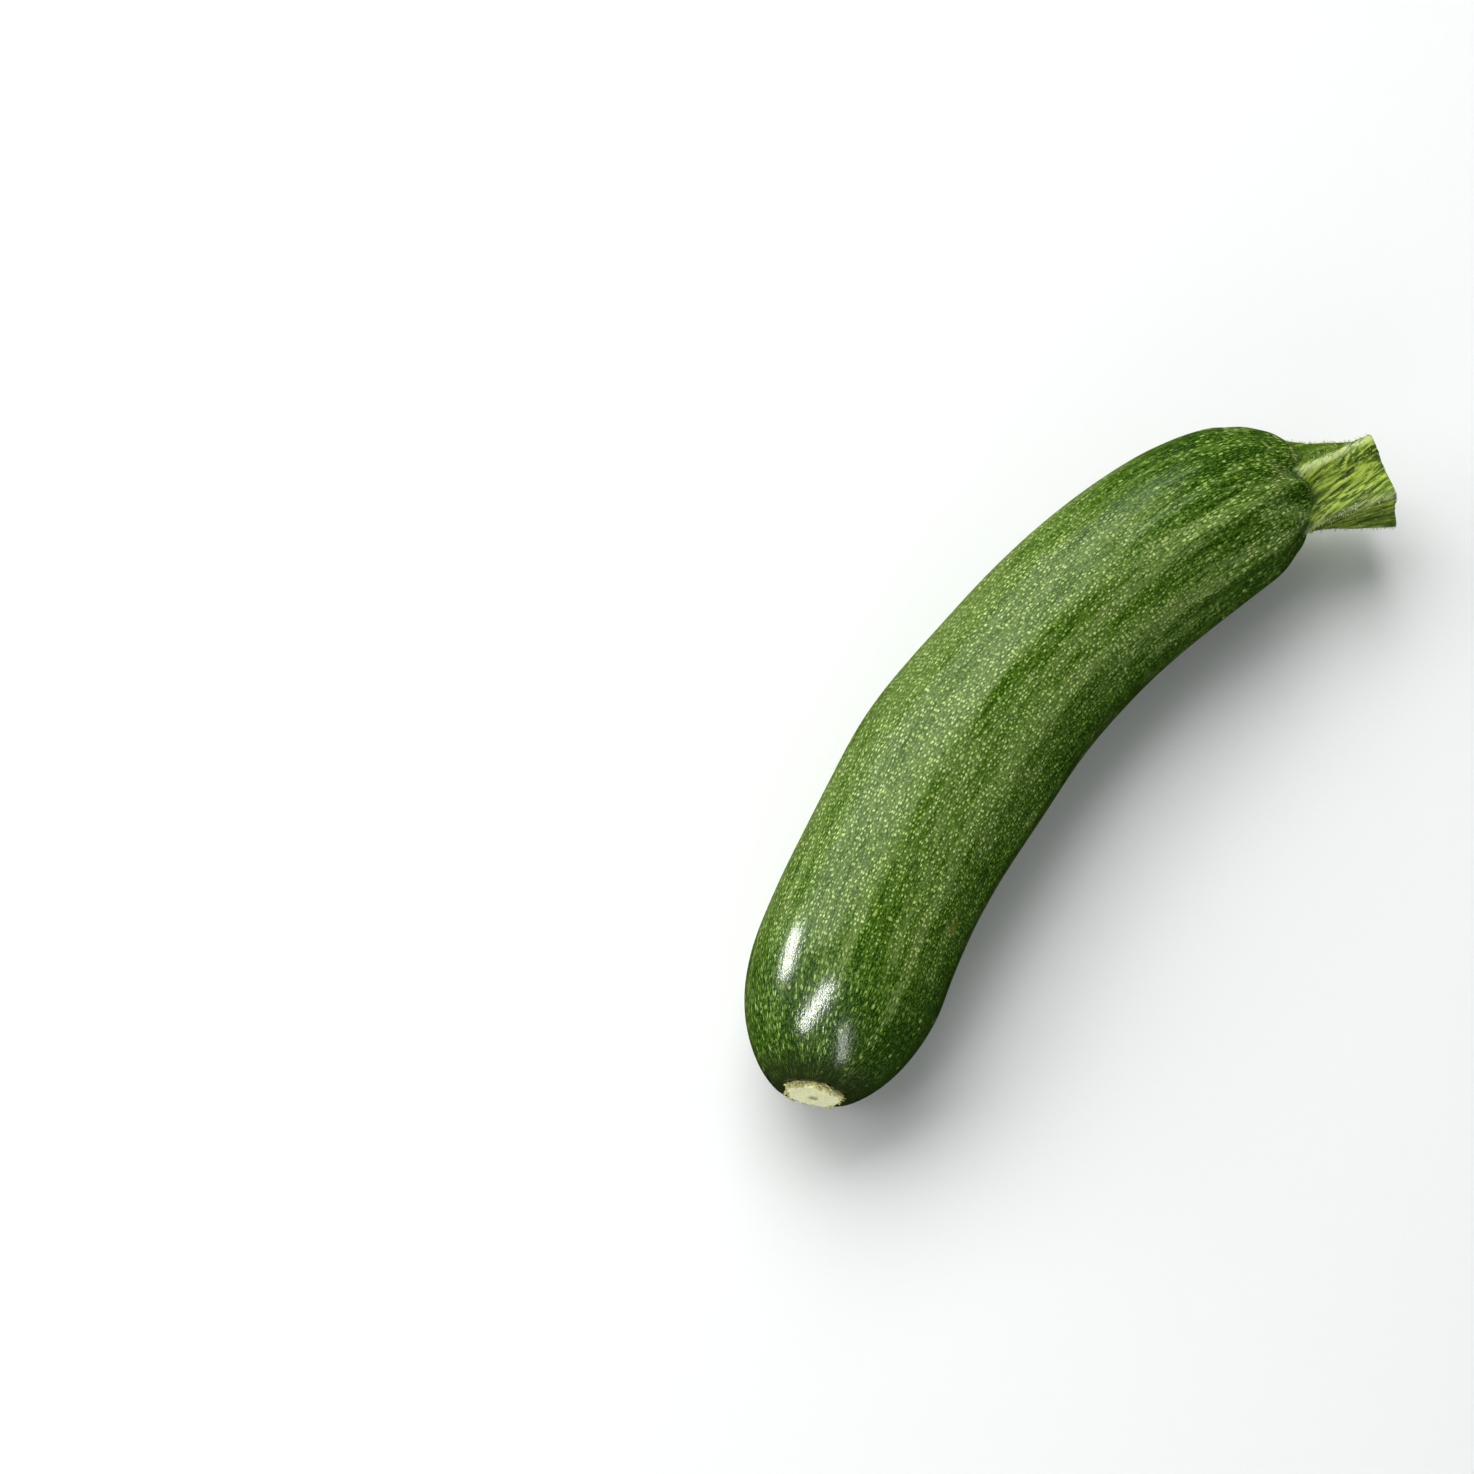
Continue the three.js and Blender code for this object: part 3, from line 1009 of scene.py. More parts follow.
@dataclass(frozen=True)
class BristleFinish:
    """Short whitish bristles."""

    light: Colour = (0.62, 0.68, 0.46)
    dark: Colour = (0.36, 0.46, 0.2)
    blot_grain: Colour = (1.5 * MM, 1.5 * MM, 1.5 * MM)
    roughness: float = 0.5

    def material(self) -> bpy.types.Material:
        """Builds the bristles' surface.

        Returns:
            The finished material.
        """
        paint = Paint("bristle_white")
        blots = paint.clouds(paint.stretched(paint.place(), self.blot_grain), 2.0)
        coloured = paint.mix(paint.step(blots, 0.35, 0.6), self.dark, self.light)
        paint.feed(paint.surface.inputs["Base Color"], coloured)
        paint.surface.inputs["Roughness"].default_value = self.roughness
        return paint.material


@dataclass(frozen=True)
class ScarFinish:
    """Dry pale cream scar with a torn yellow-brown rim."""

    cream: Colour = (0.8, 0.8, 0.38)
    light: Colour = (0.93, 0.93, 0.62)
    rim: Colour = (0.7, 0.68, 0.2)
    brown: Colour = (0.44, 0.36, 0.06)
    pistil: Colour = (0.28, 0.34, 0.1)
    ray_grain: Colour = (1.2 * MM, 0.5 * MM, 0.5 * MM)
    blot_grain: Colour = (1.0 * MM, 1.0 * MM, 1.0 * MM)
    relief_depth: float = 0.12 * MM
    roughness: float = 0.62

    def material(self, name: str, torn: bool) -> bpy.types.Material:
        """Builds the scar's surface.

        Args:
            name: The material's name.
            torn: Whether the whole piece has the colours of the torn rim.

        Returns:
            The finished material.
        """
        paint = Paint(name)
        straight = paint.place()
        blots = paint.clouds(paint.stretched(straight, self.blot_grain), 3.0, 0.6)
        fibres = paint.clouds(paint.stretched(straight, self.ray_grain), 3.0, 0.6)
        edge = paint.mix(paint.step(blots, 0.4, 0.62), self.brown, self.rim)
        if torn:
            coloured = paint.mix(paint.step(fibres, 0.42, 0.66), edge, self.cream)
        else:
            rim, pistil, _ = paint.parts(paint.trait(Trait.MARKS))
            coloured = paint.mix(paint.step(fibres, 0.35, 0.65), self.cream, self.light)
            coloured = paint.lay(coloured, edge, rim, paint.step(blots, 0.3, 0.55))
            coloured = paint.mix(pistil, coloured, self.pistil)
        paint.feed(paint.surface.inputs["Base Color"], coloured)
        paint.surface.inputs["Roughness"].default_value = self.roughness
        paint.relief(paint.calc("MULTIPLY_ADD", fibres, 0.6, blots), self.relief_depth)
        return paint.material


@dataclass(frozen=True)
class FloorFinish:
    """Plain pale matt floor."""

    pale: Colour = (0.86, 0.87, 0.86)
    roughness: float = 0.75

    def material(self) -> bpy.types.Material:
        """Builds the floor's surface.

        Returns:
            The finished material.
        """
        paint = Paint("pale_floor")
        paint.surface.inputs["Base Color"].default_value = (*self.pale, 1.0)
        paint.surface.inputs["Roughness"].default_value = self.roughness
        return paint.material


@dataclass
class Fruit:
    """The green fruit, with its ridges, furrows and the lobes that hold the stem."""

    form: FruitForm
    sides: int = 80
    furrow_depth: float = 0.9 * MM
    furrow_span: Span = (75 * MM, 20 * MM)
    furrow_waves: Waves = (12, 260)
    dent_depth: float = 0.15 * MM
    dent_size: float = 14 * MM
    lobe_reach: float = 2.2 * MM
    lobe_swell: float = 0.8 * MM
    lobe_gap: float = 15
    lip_along: Span = (5 * MM, 0)
    lip_out: Span = (8 * MM, 10 * MM)
    body_out: Span = (6 * MM, 14 * MM)
    front_turn: float = 15
    tone_base: float = 0.64
    # Painted light and shade by side: lighter towards the outer side at this turn, darker on the far side.
    side_painted_light: float = 0.18
    side_painted_light_turn: float = -40
    tone_waves: Waves = (14, 60)
    neck_waves: Waves = (10, 240)
    # How far the painted light and the painted shade reach from each ridge.
    pale_reach: float = 3.2 * MM
    dark_reach: float = 5 * MM
    # Painted shade on the inner flank, between these turns.
    inner_painted_shade: float = 0.42
    # Painted light on the outer side along the middle of the fruit.
    outer_painted_light: float = 0.06
    neck_dark: float = 0.42
    blossom_dark: float = 0.58
    ridge_edge: Span = (-0.6 * MM, 0.9 * MM)
    ridge_fade: Span = (85 * MM, 125 * MM)
    inner_shade_rise: Span = (54, 74)
    inner_shade_fall: Span = (110, 150)
    outer_along: Span = (70 * MM, 110 * MM)
    outer_side: Span = (-10, 25)
    blossom_span: Span = (4 * MM, 42 * MM)
    blossom_dashes: Span = (12 * MM, 34 * MM)
    neck_dashes: Span = (60 * MM, 20 * MM)
    neck_span: Span = (100 * MM, 40 * MM)
    # Each ridge's pale and dark side: partly the skin's own rib streaks, partly painted light and painted
    # shade on the facets beside it.
    ridge_streaks_light_and_shade: dict[float, tuple[float, float]] = field(
        default_factory=lambda: {
            -34: (0.1, 0.12),
            4: (0.45, 0.36),
            42: (0.66, 0.1),
            77: (0.1, 0.25),
            112: (0.2, 0.2),
            148: (0.25, 0.25),
            184: (0.3, 0.3),
            220: (0.2, 0.2),
            256: (0.25, 0.25),
            291: (0.2, 0.15),
        }
    )
    neck_ribs: tuple[tuple[float, float, float], ...] = ((21, 8, 0.45), (49, 10, 0.4), (32, 5, -0.2))
    top_ease: float = 0.3 * MM
    finish: SkinFinish = SkinFinish()
    piece: bpy.types.Object | None = None

    def carve(self, place: Polar) -> Polar:
        """Carves ridges, furrows, dents and lobes.

        Args:
            place: A place of the plain outline.

        Returns:
            The carved place.
        """
        form = self.form
        out = form.radius(place)
        soft = noise.noise(place.point() / self.dent_size)
        furrows = self.rippled(place, self.furrow_waves)
        near_neck = self.nearing_stem(place, self.furrow_span)
        body = ease(place.out, *self.body_out)
        out -= body * (self.dent_depth * (0.1 + soft) + self.furrow_depth * near_neck * furrows)
        out -= self.top_ease * max(0.0, math.cos(math.radians(place.turn))) ** 8
        at_lip = self.nearing_stem(place, self.lip_along) * ease(place.out, *self.lip_out)
        lobe = 1 - math.exp(-((form.from_notch(place.turn) / self.lobe_gap) ** 2))
        front = max(0.0, math.cos(math.radians(place.turn - self.front_turn))) ** 2
        along = place.along + self.lobe_reach * at_lip * lobe * front
        return Polar(along, out + self.lobe_swell * at_lip * lobe, place.turn)

    def nearing_stem(self, place: Polar, span: Span) -> float:
        """Returns a soft step from 0 to 1 between two distances short of the stem end."""
        return ease(place.along, self.form.length - span[0], self.form.length - span[1])

    def rippled(self, place: Polar, waves: Waves) -> float:
        """Returns soft noise with so many waves a metre along the fruit and across it."""
        raw = place.point()
        return noise.noise(Vector((place.along * waves[0], raw.y * waves[1], raw.z * waves[1])))

    def tone(self, place: Polar) -> float:
        """Works out how light the skin is, with its painted light and painted shade.

        Args:
            place: A place on the skin.

        Returns:
            0 for deep green, 1 for pale.
        """
        form = self.form
        turn = form.unswirled(place)
        value = self.tone_base + 0.2 * self.rippled(place, self.tone_waves)
        # Painted light on the outer side and painted shade on the far side.
        value += self.side_painted_light * math.cos(math.radians(turn - self.side_painted_light_turn))
        # Pale side and dark side of each ridge: rib streaks together with painted light and painted shade on
        # its facets.
        for ridge, (pale, dark) in self.ridge_streaks_light_and_shade.items():
            across = math.radians(turn_between(turn, ridge)) * form.belly_radius
            strength = 0.9 + 0.5 * noise.noise(Vector((place.along * 22, ridge, 0)))
            edge = ease(across, *self.ridge_edge)
            value += strength * pale * (1 - edge) * math.exp(min(0.0, across) / self.pale_reach)
            deep = dark * (1 - 0.8 * ease(place.along, *self.ridge_fade))
            value -= strength * deep * edge * math.exp(-max(0.0, across) / self.dark_reach)
        # Painted shade on the inner flank.
        value -= self.inner_painted_shade * ease(turn, *self.inner_shade_rise) * (1 - ease(turn, *self.inner_shade_fall))
        # Painted light on the outer side.
        value += self.outer_painted_light * ease(place.along, *self.outer_along) * ease(-turn, *self.outer_side)
        near_neck = self.nearing_stem(place, self.neck_span)
        value += near_neck * 0.9 * self.rippled(place, self.neck_waves)
        value -= self.neck_dark * self.nearing_stem(place, self.neck_dashes)
        for rib, width, light in self.neck_ribs:
            value += near_neck * light * math.exp(-((turn_between(place.turn, rib) / width) ** 2))
        value -= self.blossom_dark * (1 - ease(place.along, *self.blossom_span))
        return value

    def marks(self, straight: Vector) -> Vector:
        """Works out what the skin's finish reads.

        Args:
            straight: A point of the straight fruit.

        Returns:
            The tone with its painted light and shade, the share of dashes and the ring round the scar.
        """
        place = Polar.of(straight)
        ends = 1 - ease(place.along, *self.blossom_dashes)
        ends = max(ends, 0.9 * self.nearing_stem(place, self.neck_dashes))
        wander = 1.5 * MM * noise.noise(straight * 300)
        ring = 1 - ease(place.along + wander, 1 * MM, 6.5 * MM)
        return Vector((self.tone(place), ends, ring))

    def unrolled(self, straight: Vector) -> Vector:
        """Lays the skin out flat, cut open underneath.

        Args:
            straight: A point of the straight fruit.

        Returns:
            The two lengths on the flat skin in metres, and 1 beside the cut.
        """
        place = Polar.of(straight)
        seam = ease(abs(place.turn), 168, 174)
        return Vector((place.along, math.radians(place.turn) * self.form.belly_radius, seam))

    def build(self, bow: Bow) -> None:
        """Extrudes, carves and bends the fruit, and flattens the strip that it lies on.

        Args:
            bow: The middle line.
        """
        piece = extruded("fruit_body", self.form.stations(), self.sides)
        finish_modifier(piece, "SUBSURF", levels=1, render_levels=1)
        mould(piece, lambda place: self.carve(place).point())
        keep_trait(piece, Trait.STRAIGHT, lambda point: point)
        keep_trait(piece, Trait.MARKS, self.marks)
        keep_trait(piece, Trait.UNROLLED, self.unrolled)
        for vertex in piece.data.vertices:
            vertex.co.z += self.form.lift(vertex.co.x)
        bow.bend([piece])
        self.lay_down(piece)
        take_up(piece)
        bpy.ops.object.shade_smooth()
        self.piece = piece

    def lay_down(self, piece: bpy.types.Object) -> None:
        """Flattens what would reach below the ground to the narrow strip that the fruit lies on.

        Args:
            piece: The bent fruit.
        """
        take_up(piece)
        bpy.ops.object.mode_set(mode="EDIT")
        bpy.ops.mesh.select_all(action="DESELECT")
        bpy.ops.object.mode_set(mode="OBJECT")
        for vertex in piece.data.vertices:
            vertex.select = vertex.co.z < 0
        bpy.ops.object.mode_set(mode="EDIT")
        bpy.ops.transform.resize(value=(1, 1, 0), center_override=(0, 0, 0))
        bpy.ops.object.mode_set(mode="OBJECT")

    def dress(self) -> None:
        """Gives the fruit its skin."""
        hand_over(self.piece, Slot.SKIN, self.finish.material())
        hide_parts("fruit")


@dataclass
class Stem:
    """The fluted stem with its slanted cut, its fibres and its bristles."""

    form: FruitForm
    length: float = 20.3 * MM
    aside: float = 1.4 * MM
    twist: float = -35
    fibre_twist: float = -75
    waist: float = 10.8 * MM
    root_flare: float = 2.1 * MM
    root_span: float = 0.5
    cut_flare: float = 1.4 * MM
    groove_root: float = 2 * MM
    groove_cut: float = 3.6 * MM
    groove_hollow: float = 0.8
    rib_height: float = 0.7 * MM
    rib_narrowness: float = 6
    slant: float = 0.25
    short_side: float = -70
    sunk: float = 1.6 * MM
    sides: int = 110
    rings: int = 26
    face_rings: tuple[float, ...] = (0.95, 0.85, 0.7, 0.5, 0.3, 0.12)
    fibre_depth: float = 0.24 * MM
    uneven: tuple[float, ...] = (0.5 * MM, -0.2 * MM, -0.5 * MM, 0.2 * MM, -1.7 * MM)
    ridge_reach: float = 1.3
    bristle_count: int = 700
    bristle_seed: int = 11
    bristle_sizes: Span = (0.45, 1.15)
    bristle_strays: float = 0.06
    finish: StemFinish = StemFinish()
    bristle_finish: BristleFinish = BristleFinish()
    pieces: list[bpy.types.Object] = field(default_factory=list)

    def wave(self, share: float, turn: float) -> float:
        """Returns 1 on a ridge of the twisted stem and -1 in a groove."""
        ridges = self.form.stem_ridges
        return math.cos(math.radians(ridges * (turn - self.form.first_stem_ridge - self.twist * share)))

    def radius(self, share: float, turn: float) -> float:
        """Finds the fluted stem's radius.

        Args:
            share: The share of the length from root to cut.
            turn: The turn in degrees.

        Returns:
            The radius there.
        """
        wave = self.wave(share, turn)
        root = self.root_flare * max(0.0, 1 - share / self.root_span) ** 2 * (0.5 + wave / 2)
        ridge = self.waist + root + self.cut_flare * share**2
        groove = blend(self.groove_root, self.groove_cut, share) * (0.5 - wave / 2) ** self.groove_hollow
        rib = self.rib_height * max(0.0, -wave) ** self.rib_narrowness
        pitch = 360 / self.form.stem_ridges
        for index, height in enumerate(self.uneven):
            off = turn_between(self.untwisted(share, turn), self.form.first_stem_ridge + pitch * index)
            near = max(0.0, math.cos(math.radians(off * 180 / pitch / self.ridge_reach)))
            ridge += height * share * near**2 * (abs(off) < pitch)
        return ridge - groove + rib

    def untwisted(self, share: float, turn: float) -> float:
        """Returns the turn that a fibre through this place has at the root."""
        return turn - self.twist * share

    def along_fibre(self, share: float, turn: float) -> float:
        """Returns the turn at the root of the fibre through a place, which winds more than the ridges do."""
        return turn - self.fibre_twist * share

    def dark_and_shaded_side(self, share: float, turn: float) -> float:
        """Finds where the stem is darker: behind the first ridge, in its own darker green, and low down,
        where shade is painted.

        Args:
            share: The share of the length from root to cut.
            turn: The turn in degrees.

        Returns:
            1 on a darker side and 0 elsewhere.
        """
        off = turn_between(self.untwisted(share, turn), self.form.first_stem_ridge)
        behind = ease(-off, 4, 13) * (1 - ease(-off, 62, 76))
        return max(behind, 0.6 * ease(off, 84, 100) * (1 - ease(off, 150, 170)))

    def fibres(self, share: float, turn: float) -> float:
        """Works out the lengthwise fibres.

        Args:
            share: The share of the length from root to cut.
            turn: The turn in degrees.

        Returns:
            Their height, from -1 to 1.
        """
        angle = math.radians(self.along_fibre(share, turn))
        coarse = noise.noise(Vector((math.cos(angle) * 7, math.sin(angle) * 7, share * 1.6)))
        fine = noise.noise(Vector((math.cos(angle) * 19, math.sin(angle) * 19, share * 3 + 7)))
        return 0.7 * coarse + 0.5 * fine

    def surface(self, share: float, turn: float, inner: float = 1.0) -> Vector:
        """Returns a point of the stem in the straight frame.

        Args:
            share: The share of the length from root to cut.
            turn: The turn round the stem's own axis, in degrees.
            inner: 1 on the side, less towards the middle of the cut face.

        Returns:
            The point, with the fruit's axis on X.
        """
        shell = self.radius(share, turn) + self.fibre_depth * self.fibres(share, turn) * 1.4
        out = shell * inner
        angle = math.radians(turn)
        up = out * math.cos(angle)
        inward = out * math.sin(angle) + self.aside
        seat = self.form.shoulder_along(max(self.form.stem_seat, math.hypot(up, inward))) - self.sunk
        slope = self.slant * out * math.cos(math.radians(turn - self.short_side))
        cut = self.form.length + self.length - slope
        if inner < 0.97:
            ragged = noise.noise(Vector((up * 900, inward * 900, 0)))
            cut += self.fibre_depth * (1.5 * ragged - 2.5 * ease(1 - inner, 0, 0.35))
        return Vector((blend(seat, cut, share), -inward, up))

    def place_of(self, point: Vector) -> tuple[float, float, float]:
        """Finds what a point of the rough stem stands for.

        Args:
            point: A point of the extruded stem.

        Returns:
            The share of the length, the turn in degrees, and the inner share, 1 on the side.
        """
        rough = Polar.of(point)
        share = min(1.0, max(0.0, (rough.along - self.form.length) / self.length))
        return share, rough.turn, min(1.0, rough.out / self.waist)

    def marks(self, share: float, turn: float, inner: float) -> Vector:
        """Works out what the stem's finish reads.

        Args:
            share: The share of the length from root to cut.
            turn: The turn in degrees.
            inner: 1 on the side, less towards the middle of the cut face.

        Returns:
            How much the place is a ridge's crest, the root with its painted shade, and the cut face.
        """
        crest = ease(self.wave(share, turn), 0.86, 0.99) * (1 - ease(share, 0.9, 1.0) * 0.3)
        first = abs(turn_between(self.untwisted(share, turn), self.form.first_stem_ridge)) < 36
        crest *= 1.0 if first else 0.35
        wander = 0.05 * noise.noise(Vector((turn / 7, share * 9, 3)))
        # The root's painted shade climbs higher up the grooves.
        climb = 0.08 + 0.16 * max(0.0, -self.wave(share, turn))
        root = 1 - ease(share + wander, climb * 0.5, climb + 0.06)
        return Vector((crest, root, ease(1 - inner, 0.03, 0.08)))

    def build(self, bow: Bow) -> None:
        """Extrudes, flutes and bends the stem, and sets its bristles.

        Args:
            bow: The middle line.
        """
        start = self.form.length
        stations = [Station(start, share * self.waist) for share in (0.15, 0.6)]
        for ring in range(self.rings + 1):
            stations.append(Station(start + self.length * ring / self.rings, self.waist))
        stations += [Station(start + self.length, share * self.waist) for share in self.face_rings]
        piece = extruded("stem_body", stations, self.sides)
        finish_modifier(piece, "SUBSURF", levels=1, render_levels=1)
        places = [self.place_of(vertex.co) for vertex in piece.data.vertices]
        straight = piece.data.attributes.new(Trait.STRAIGHT.value, "FLOAT_VECTOR", "POINT")
        marks = piece.data.attributes.new(Trait.MARKS.value, "FLOAT_VECTOR", "POINT")
        sides = piece.data.attributes.new(Trait.SIDES.value, "FLOAT_VECTOR", "POINT")
        stores = (straight.data, marks.data, sides.data)
        for vertex, (share, turn, inner), fibre, mark, side in zip(piece.data.vertices, places, *stores):
            out = self.radius(share, turn) * inner
            fibre.vector = Polar(share * self.length, out, self.along_fibre(share, turn)).point()
            mark.vector = self.marks(share, turn, inner)
            side.vector = Vector((self.dark_and_shaded_side(share, turn), inner, 0))
            vertex.co = self.surface(share, turn, inner) + Vector((0, 0, self.form.lift(start)))
        piece.data.update()
        bristles = self.bristles()
        bow.bend([piece, bristles])
        for part in (piece, bristles):
            take_up(part)
            bpy.ops.object.shade_smooth()
        self.pieces = [piece, bristles]

    def bristles(self) -> bpy.types.Object:
        """Sets the bristles, most of them on the ridges.

        Returns:
            The bristles in one piece, still straight.
        """
        nothing_selected()
        bpy.ops.mesh.primitive_cone_add(
            vertices=4, radius1=0.12 * MM, radius2=0.02 * MM, depth=1 * MM, location=(0, 0, 0.35 * MM)
        )
        pattern = bpy.context.object
        bpy.ops.object.transform_apply(location=True, rotation=True, scale=True)
        chance = random.Random(self.bristle_seed)
        places: list[Matrix] = []
        while len(places) < self.bristle_count:
            share, turn = chance.uniform(0.06, 1.0), chance.uniform(-180, 180)
            if chance.random() > blend(self.bristle_strays, 1, ease(self.wave(share, turn), 0.7, 0.97)):
                continue
            foot = self.surface(share, turn)
            beside = self.surface(share, turn + 2) - foot
            onward = self.surface(min(1.0, share + 0.02), turn) - self.surface(share - 0.02, turn)
            normal = beside.cross(onward).normalized()
            if normal.dot(Vector((0, foot.y, foot.z))) < 0:
                normal.negate()
            lean = Vector((chance.uniform(-0.9, 0.5), chance.uniform(-0.5, 0.5), chance.uniform(-0.5, 0.5)))
            aim = (normal + lean).normalized()
            turned = aim.to_track_quat("Z", "Y").to_matrix().to_4x4()
            size = chance.uniform(*self.bristle_sizes)
            stand = Matrix.Translation(foot + Vector((0, 0, self.form.lift(self.form.length))))
            places.append(stand @ turned @ Matrix.Diagonal((size, size, size, 1)))
        return scattered("stem_bristles", pattern, places)

    def dress(self) -> None:
        """Gives the stem and its bristles their finishes."""
        body, bristles = self.pieces
        hand_over(body, Slot.STEM, self.finish.material())
        hand_over(bristles, Slot.STEM, self.bristle_finish.material())
        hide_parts("stem")


@dataclass
class BlossomScar:
    """The pale disc that the blossom left, with its torn fringe and the mark of the pistil."""

    form: FruitForm
    outline: tuple[tuple[float, float], ...] = (
        (6.0 * MM, -1.6 * MM),
        (6.1 * MM, -0.4 * MM),
        (6.15 * MM, 0.3 * MM),
        (6.0 * MM, 0.75 * MM),
        (5.6 * MM, 1.05 * MM),
        (4.9 * MM, 1.0 * MM),
        (3.4 * MM, 0.85 * MM),
        (1.9 * MM, 0.8 * MM),
        (1.3 * MM, 1.15 * MM),
        (0.7 * MM, 1.35 * MM),
        (0.25 * MM, 1.2 * MM),
    )
    waves: tuple[tuple[int, float, float], ...] = ((5, 0.04, 34), (9, 0.035, 115), (17, 0.02, 60))
    sides: int = 72
    torn_depth: float = 0.6 * MM
    flake_count: int = 110
    flake_seed: int = 5
    flake_gap: float = 0.2
    finish: ScarFinish = ScarFinish()
    pieces: list[bpy.types.Object] = field(default_factory=list)

    def swelling(self, turn: float) -> float:
        """Returns the share by which the disc is wider or narrower at a turn."""
        ripples = (depth * math.sin(math.radians(count * turn + start)) for count, depth, start in self.waves)
        return 1 + sum(ripples)

    def carve(self, place: Polar) -> Vector:
        """Carves the disc's wavy, torn edge and the rays on its face.

        Args:
            place: A place of the plain disc.

        Returns:
            The carved point.
        """
        ragged = noise.noise(Vector((place.turn / 5, place.along * 1500, 1)))
        rays = noise.noise(Vector((place.turn / 9, place.out * 350, 5)))
        edge = ease(place.out, 5 * MM, 6.8 * MM)
        out = place.out * self.swelling(place.turn) + self.torn_depth * (ragged - 0.5) * edge
        along = place.along + 0.2 * MM * rays * (1 - ease(place.along, -0.8 * MM, -0.2 * MM))
        return Polar(along, out, place.turn).point()

    def marks(self, straight: Vector) -> Vector:
        """Works out what the disc's finish reads.

        Args:
            straight: A point of the straight disc.

        Returns:
            How much the point is the torn rim and the pistil's mark, and 0.
        """
        place = Polar.of(straight)
        ragged = noise.noise(Vector((place.turn / 4, 0, 2)))
        rim = ease(place.out, (5.5 + 0.6 * ragged) * MM, (6.3 + 0.6 * ragged) * MM)
        pistil = 1 - ease(place.out, 0.6 * MM, 1.5 * MM)
        return Vector((rim, pistil * 0.8, 0))

    def build(self, bow: Bow) -> None:
        """Extrudes and tears the disc, sets its fringe and carries both to the end of the bow.

        Args:
            bow: The middle line.
        """
        stations = [Station(-up, out) for out, up in self.outline]
        disc = extruded("scar_disc", stations, self.sides)
        finish_modifier(disc, "SUBSURF", levels=2, render_levels=2)
        mould(disc, self.carve)
        keep_trait(disc, Trait.MARKS, self.marks)
        fringe = self.fringe()
        for piece in (disc, fringe):
            for vertex in piece.data.vertices:
                vertex.co.z += self.form.lift(vertex.co.x)
        bow.bend([disc, fringe])
        for piece in (disc, fringe):
            take_up(piece)
            bpy.ops.object.shade_smooth()
        self.pieces = [disc, fringe]

    def fringe(self) -> bpy.types.Object:
        """Sets the torn flakes round the disc's rim.

        Returns:
            The flakes in one piece, still straight.
        """
        nothing_selected()
        bpy.ops.mesh.primitive_cone_add(vertices=6, radius1=0.55 * MM, radius2=0.28 * MM, depth=1.3 * MM)
        pattern = bpy.context.object
        bpy.ops.object.mode_set(mode="EDIT")
        bpy.ops.mesh.select_all(action="SELECT")
        bpy.ops.transform.resize(value=(1, 0.35, 1), center_override=(0, 0, 0))
        bpy.ops.object.mode_set(mode="OBJECT")
        chance = random.Random(self.flake_seed)
        places: list[Matrix] = []
        for index in range(self.flake_count):
            turn = 360 * (index + chance.uniform(-0.5, 0.5)) / self.flake_count
            angle = math.radians(turn)
            frayed = noise.noise(Vector((math.cos(angle) * 3, math.sin(angle) * 3, 8)))
            if chance.random() < self.flake_gap - frayed:
                continue
            out = (6.1 + 0.5 * frayed) * MM * self.swelling(turn)
            foot = Polar(chance.uniform(-0.9, 0.1) * MM, out, turn).point()
            outward_way = Polar(0, 1, turn).point()
            aim = (outward_way + Vector((chance.uniform(-0.7, 0.35), 0, 0))).normalized()
            aim = (aim + Polar(0, chance.uniform(-0.9, 0.9), turn + 90).point()).normalized()
            turned = aim.to_track_quat("Z", "X").to_matrix().to_4x4()
            size = chance.uniform(0.5, 1.15) * (1.1 + frayed)
            scale = Matrix.Diagonal((size * chance.uniform(0.8, 1.5), chance.uniform(0.6, 1.3), size, 1))
            places.append(Matrix.Translation(foot) @ turned @ scale)
        return scattered("scar_fringe", pattern, places)

    def dress(self) -> None:
        """Gives the disc and its fringe their finishes."""
        disc, fringe = self.pieces
        hand_over(disc, Slot.SCAR, self.finish.material("scar_cream", torn=False))
        hand_over(fringe, Slot.SCAR, self.finish.material("scar_torn", torn=True))
        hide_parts("blossom_scar")


class Task(Enum):
    """What a studio light is for."""

    LIGHT = "light"
    GLOSS = "gloss"


@dataclass(frozen=True)
class Lamp:
    """A rectangular studio light, placed by the direction that it stands in as seen from its aim."""

    name: str
    task: Task
    azimuth: float
    elevation: float
    distance: float
    width: float
    height: float
    power: float
    aim: tuple[float, float, float] = (-0.03, 0.02, 0.03)

    def hang(self) -> None:
        """Hangs the light so that it faces its aim."""
        azimuth, elevation = math.radians(self.azimuth), math.radians(self.elevation)
        level = math.cos(elevation)
        way = Vector((math.cos(azimuth) * level, math.sin(azimuth) * level, math.sin(elevation)))
        data = bpy.data.lights.new(self.name, "AREA")
        data.shape = "RECTANGLE"
        data.size = self.width
        data.size_y = self.height
        data.energy = self.power
        lamp = bpy.data.objects.new(self.name, data)
        lamp.location = Vector(self.aim) + way * self.distance
        lamp.rotation_euler = way.to_track_quat("Z", "Y").to_euler()
        lamp.visible_diffuse = self.task is Task.LIGHT
        lamp.visible_glossy = self.task is Task.GLOSS
        bpy.context.collection.objects.link(lamp)


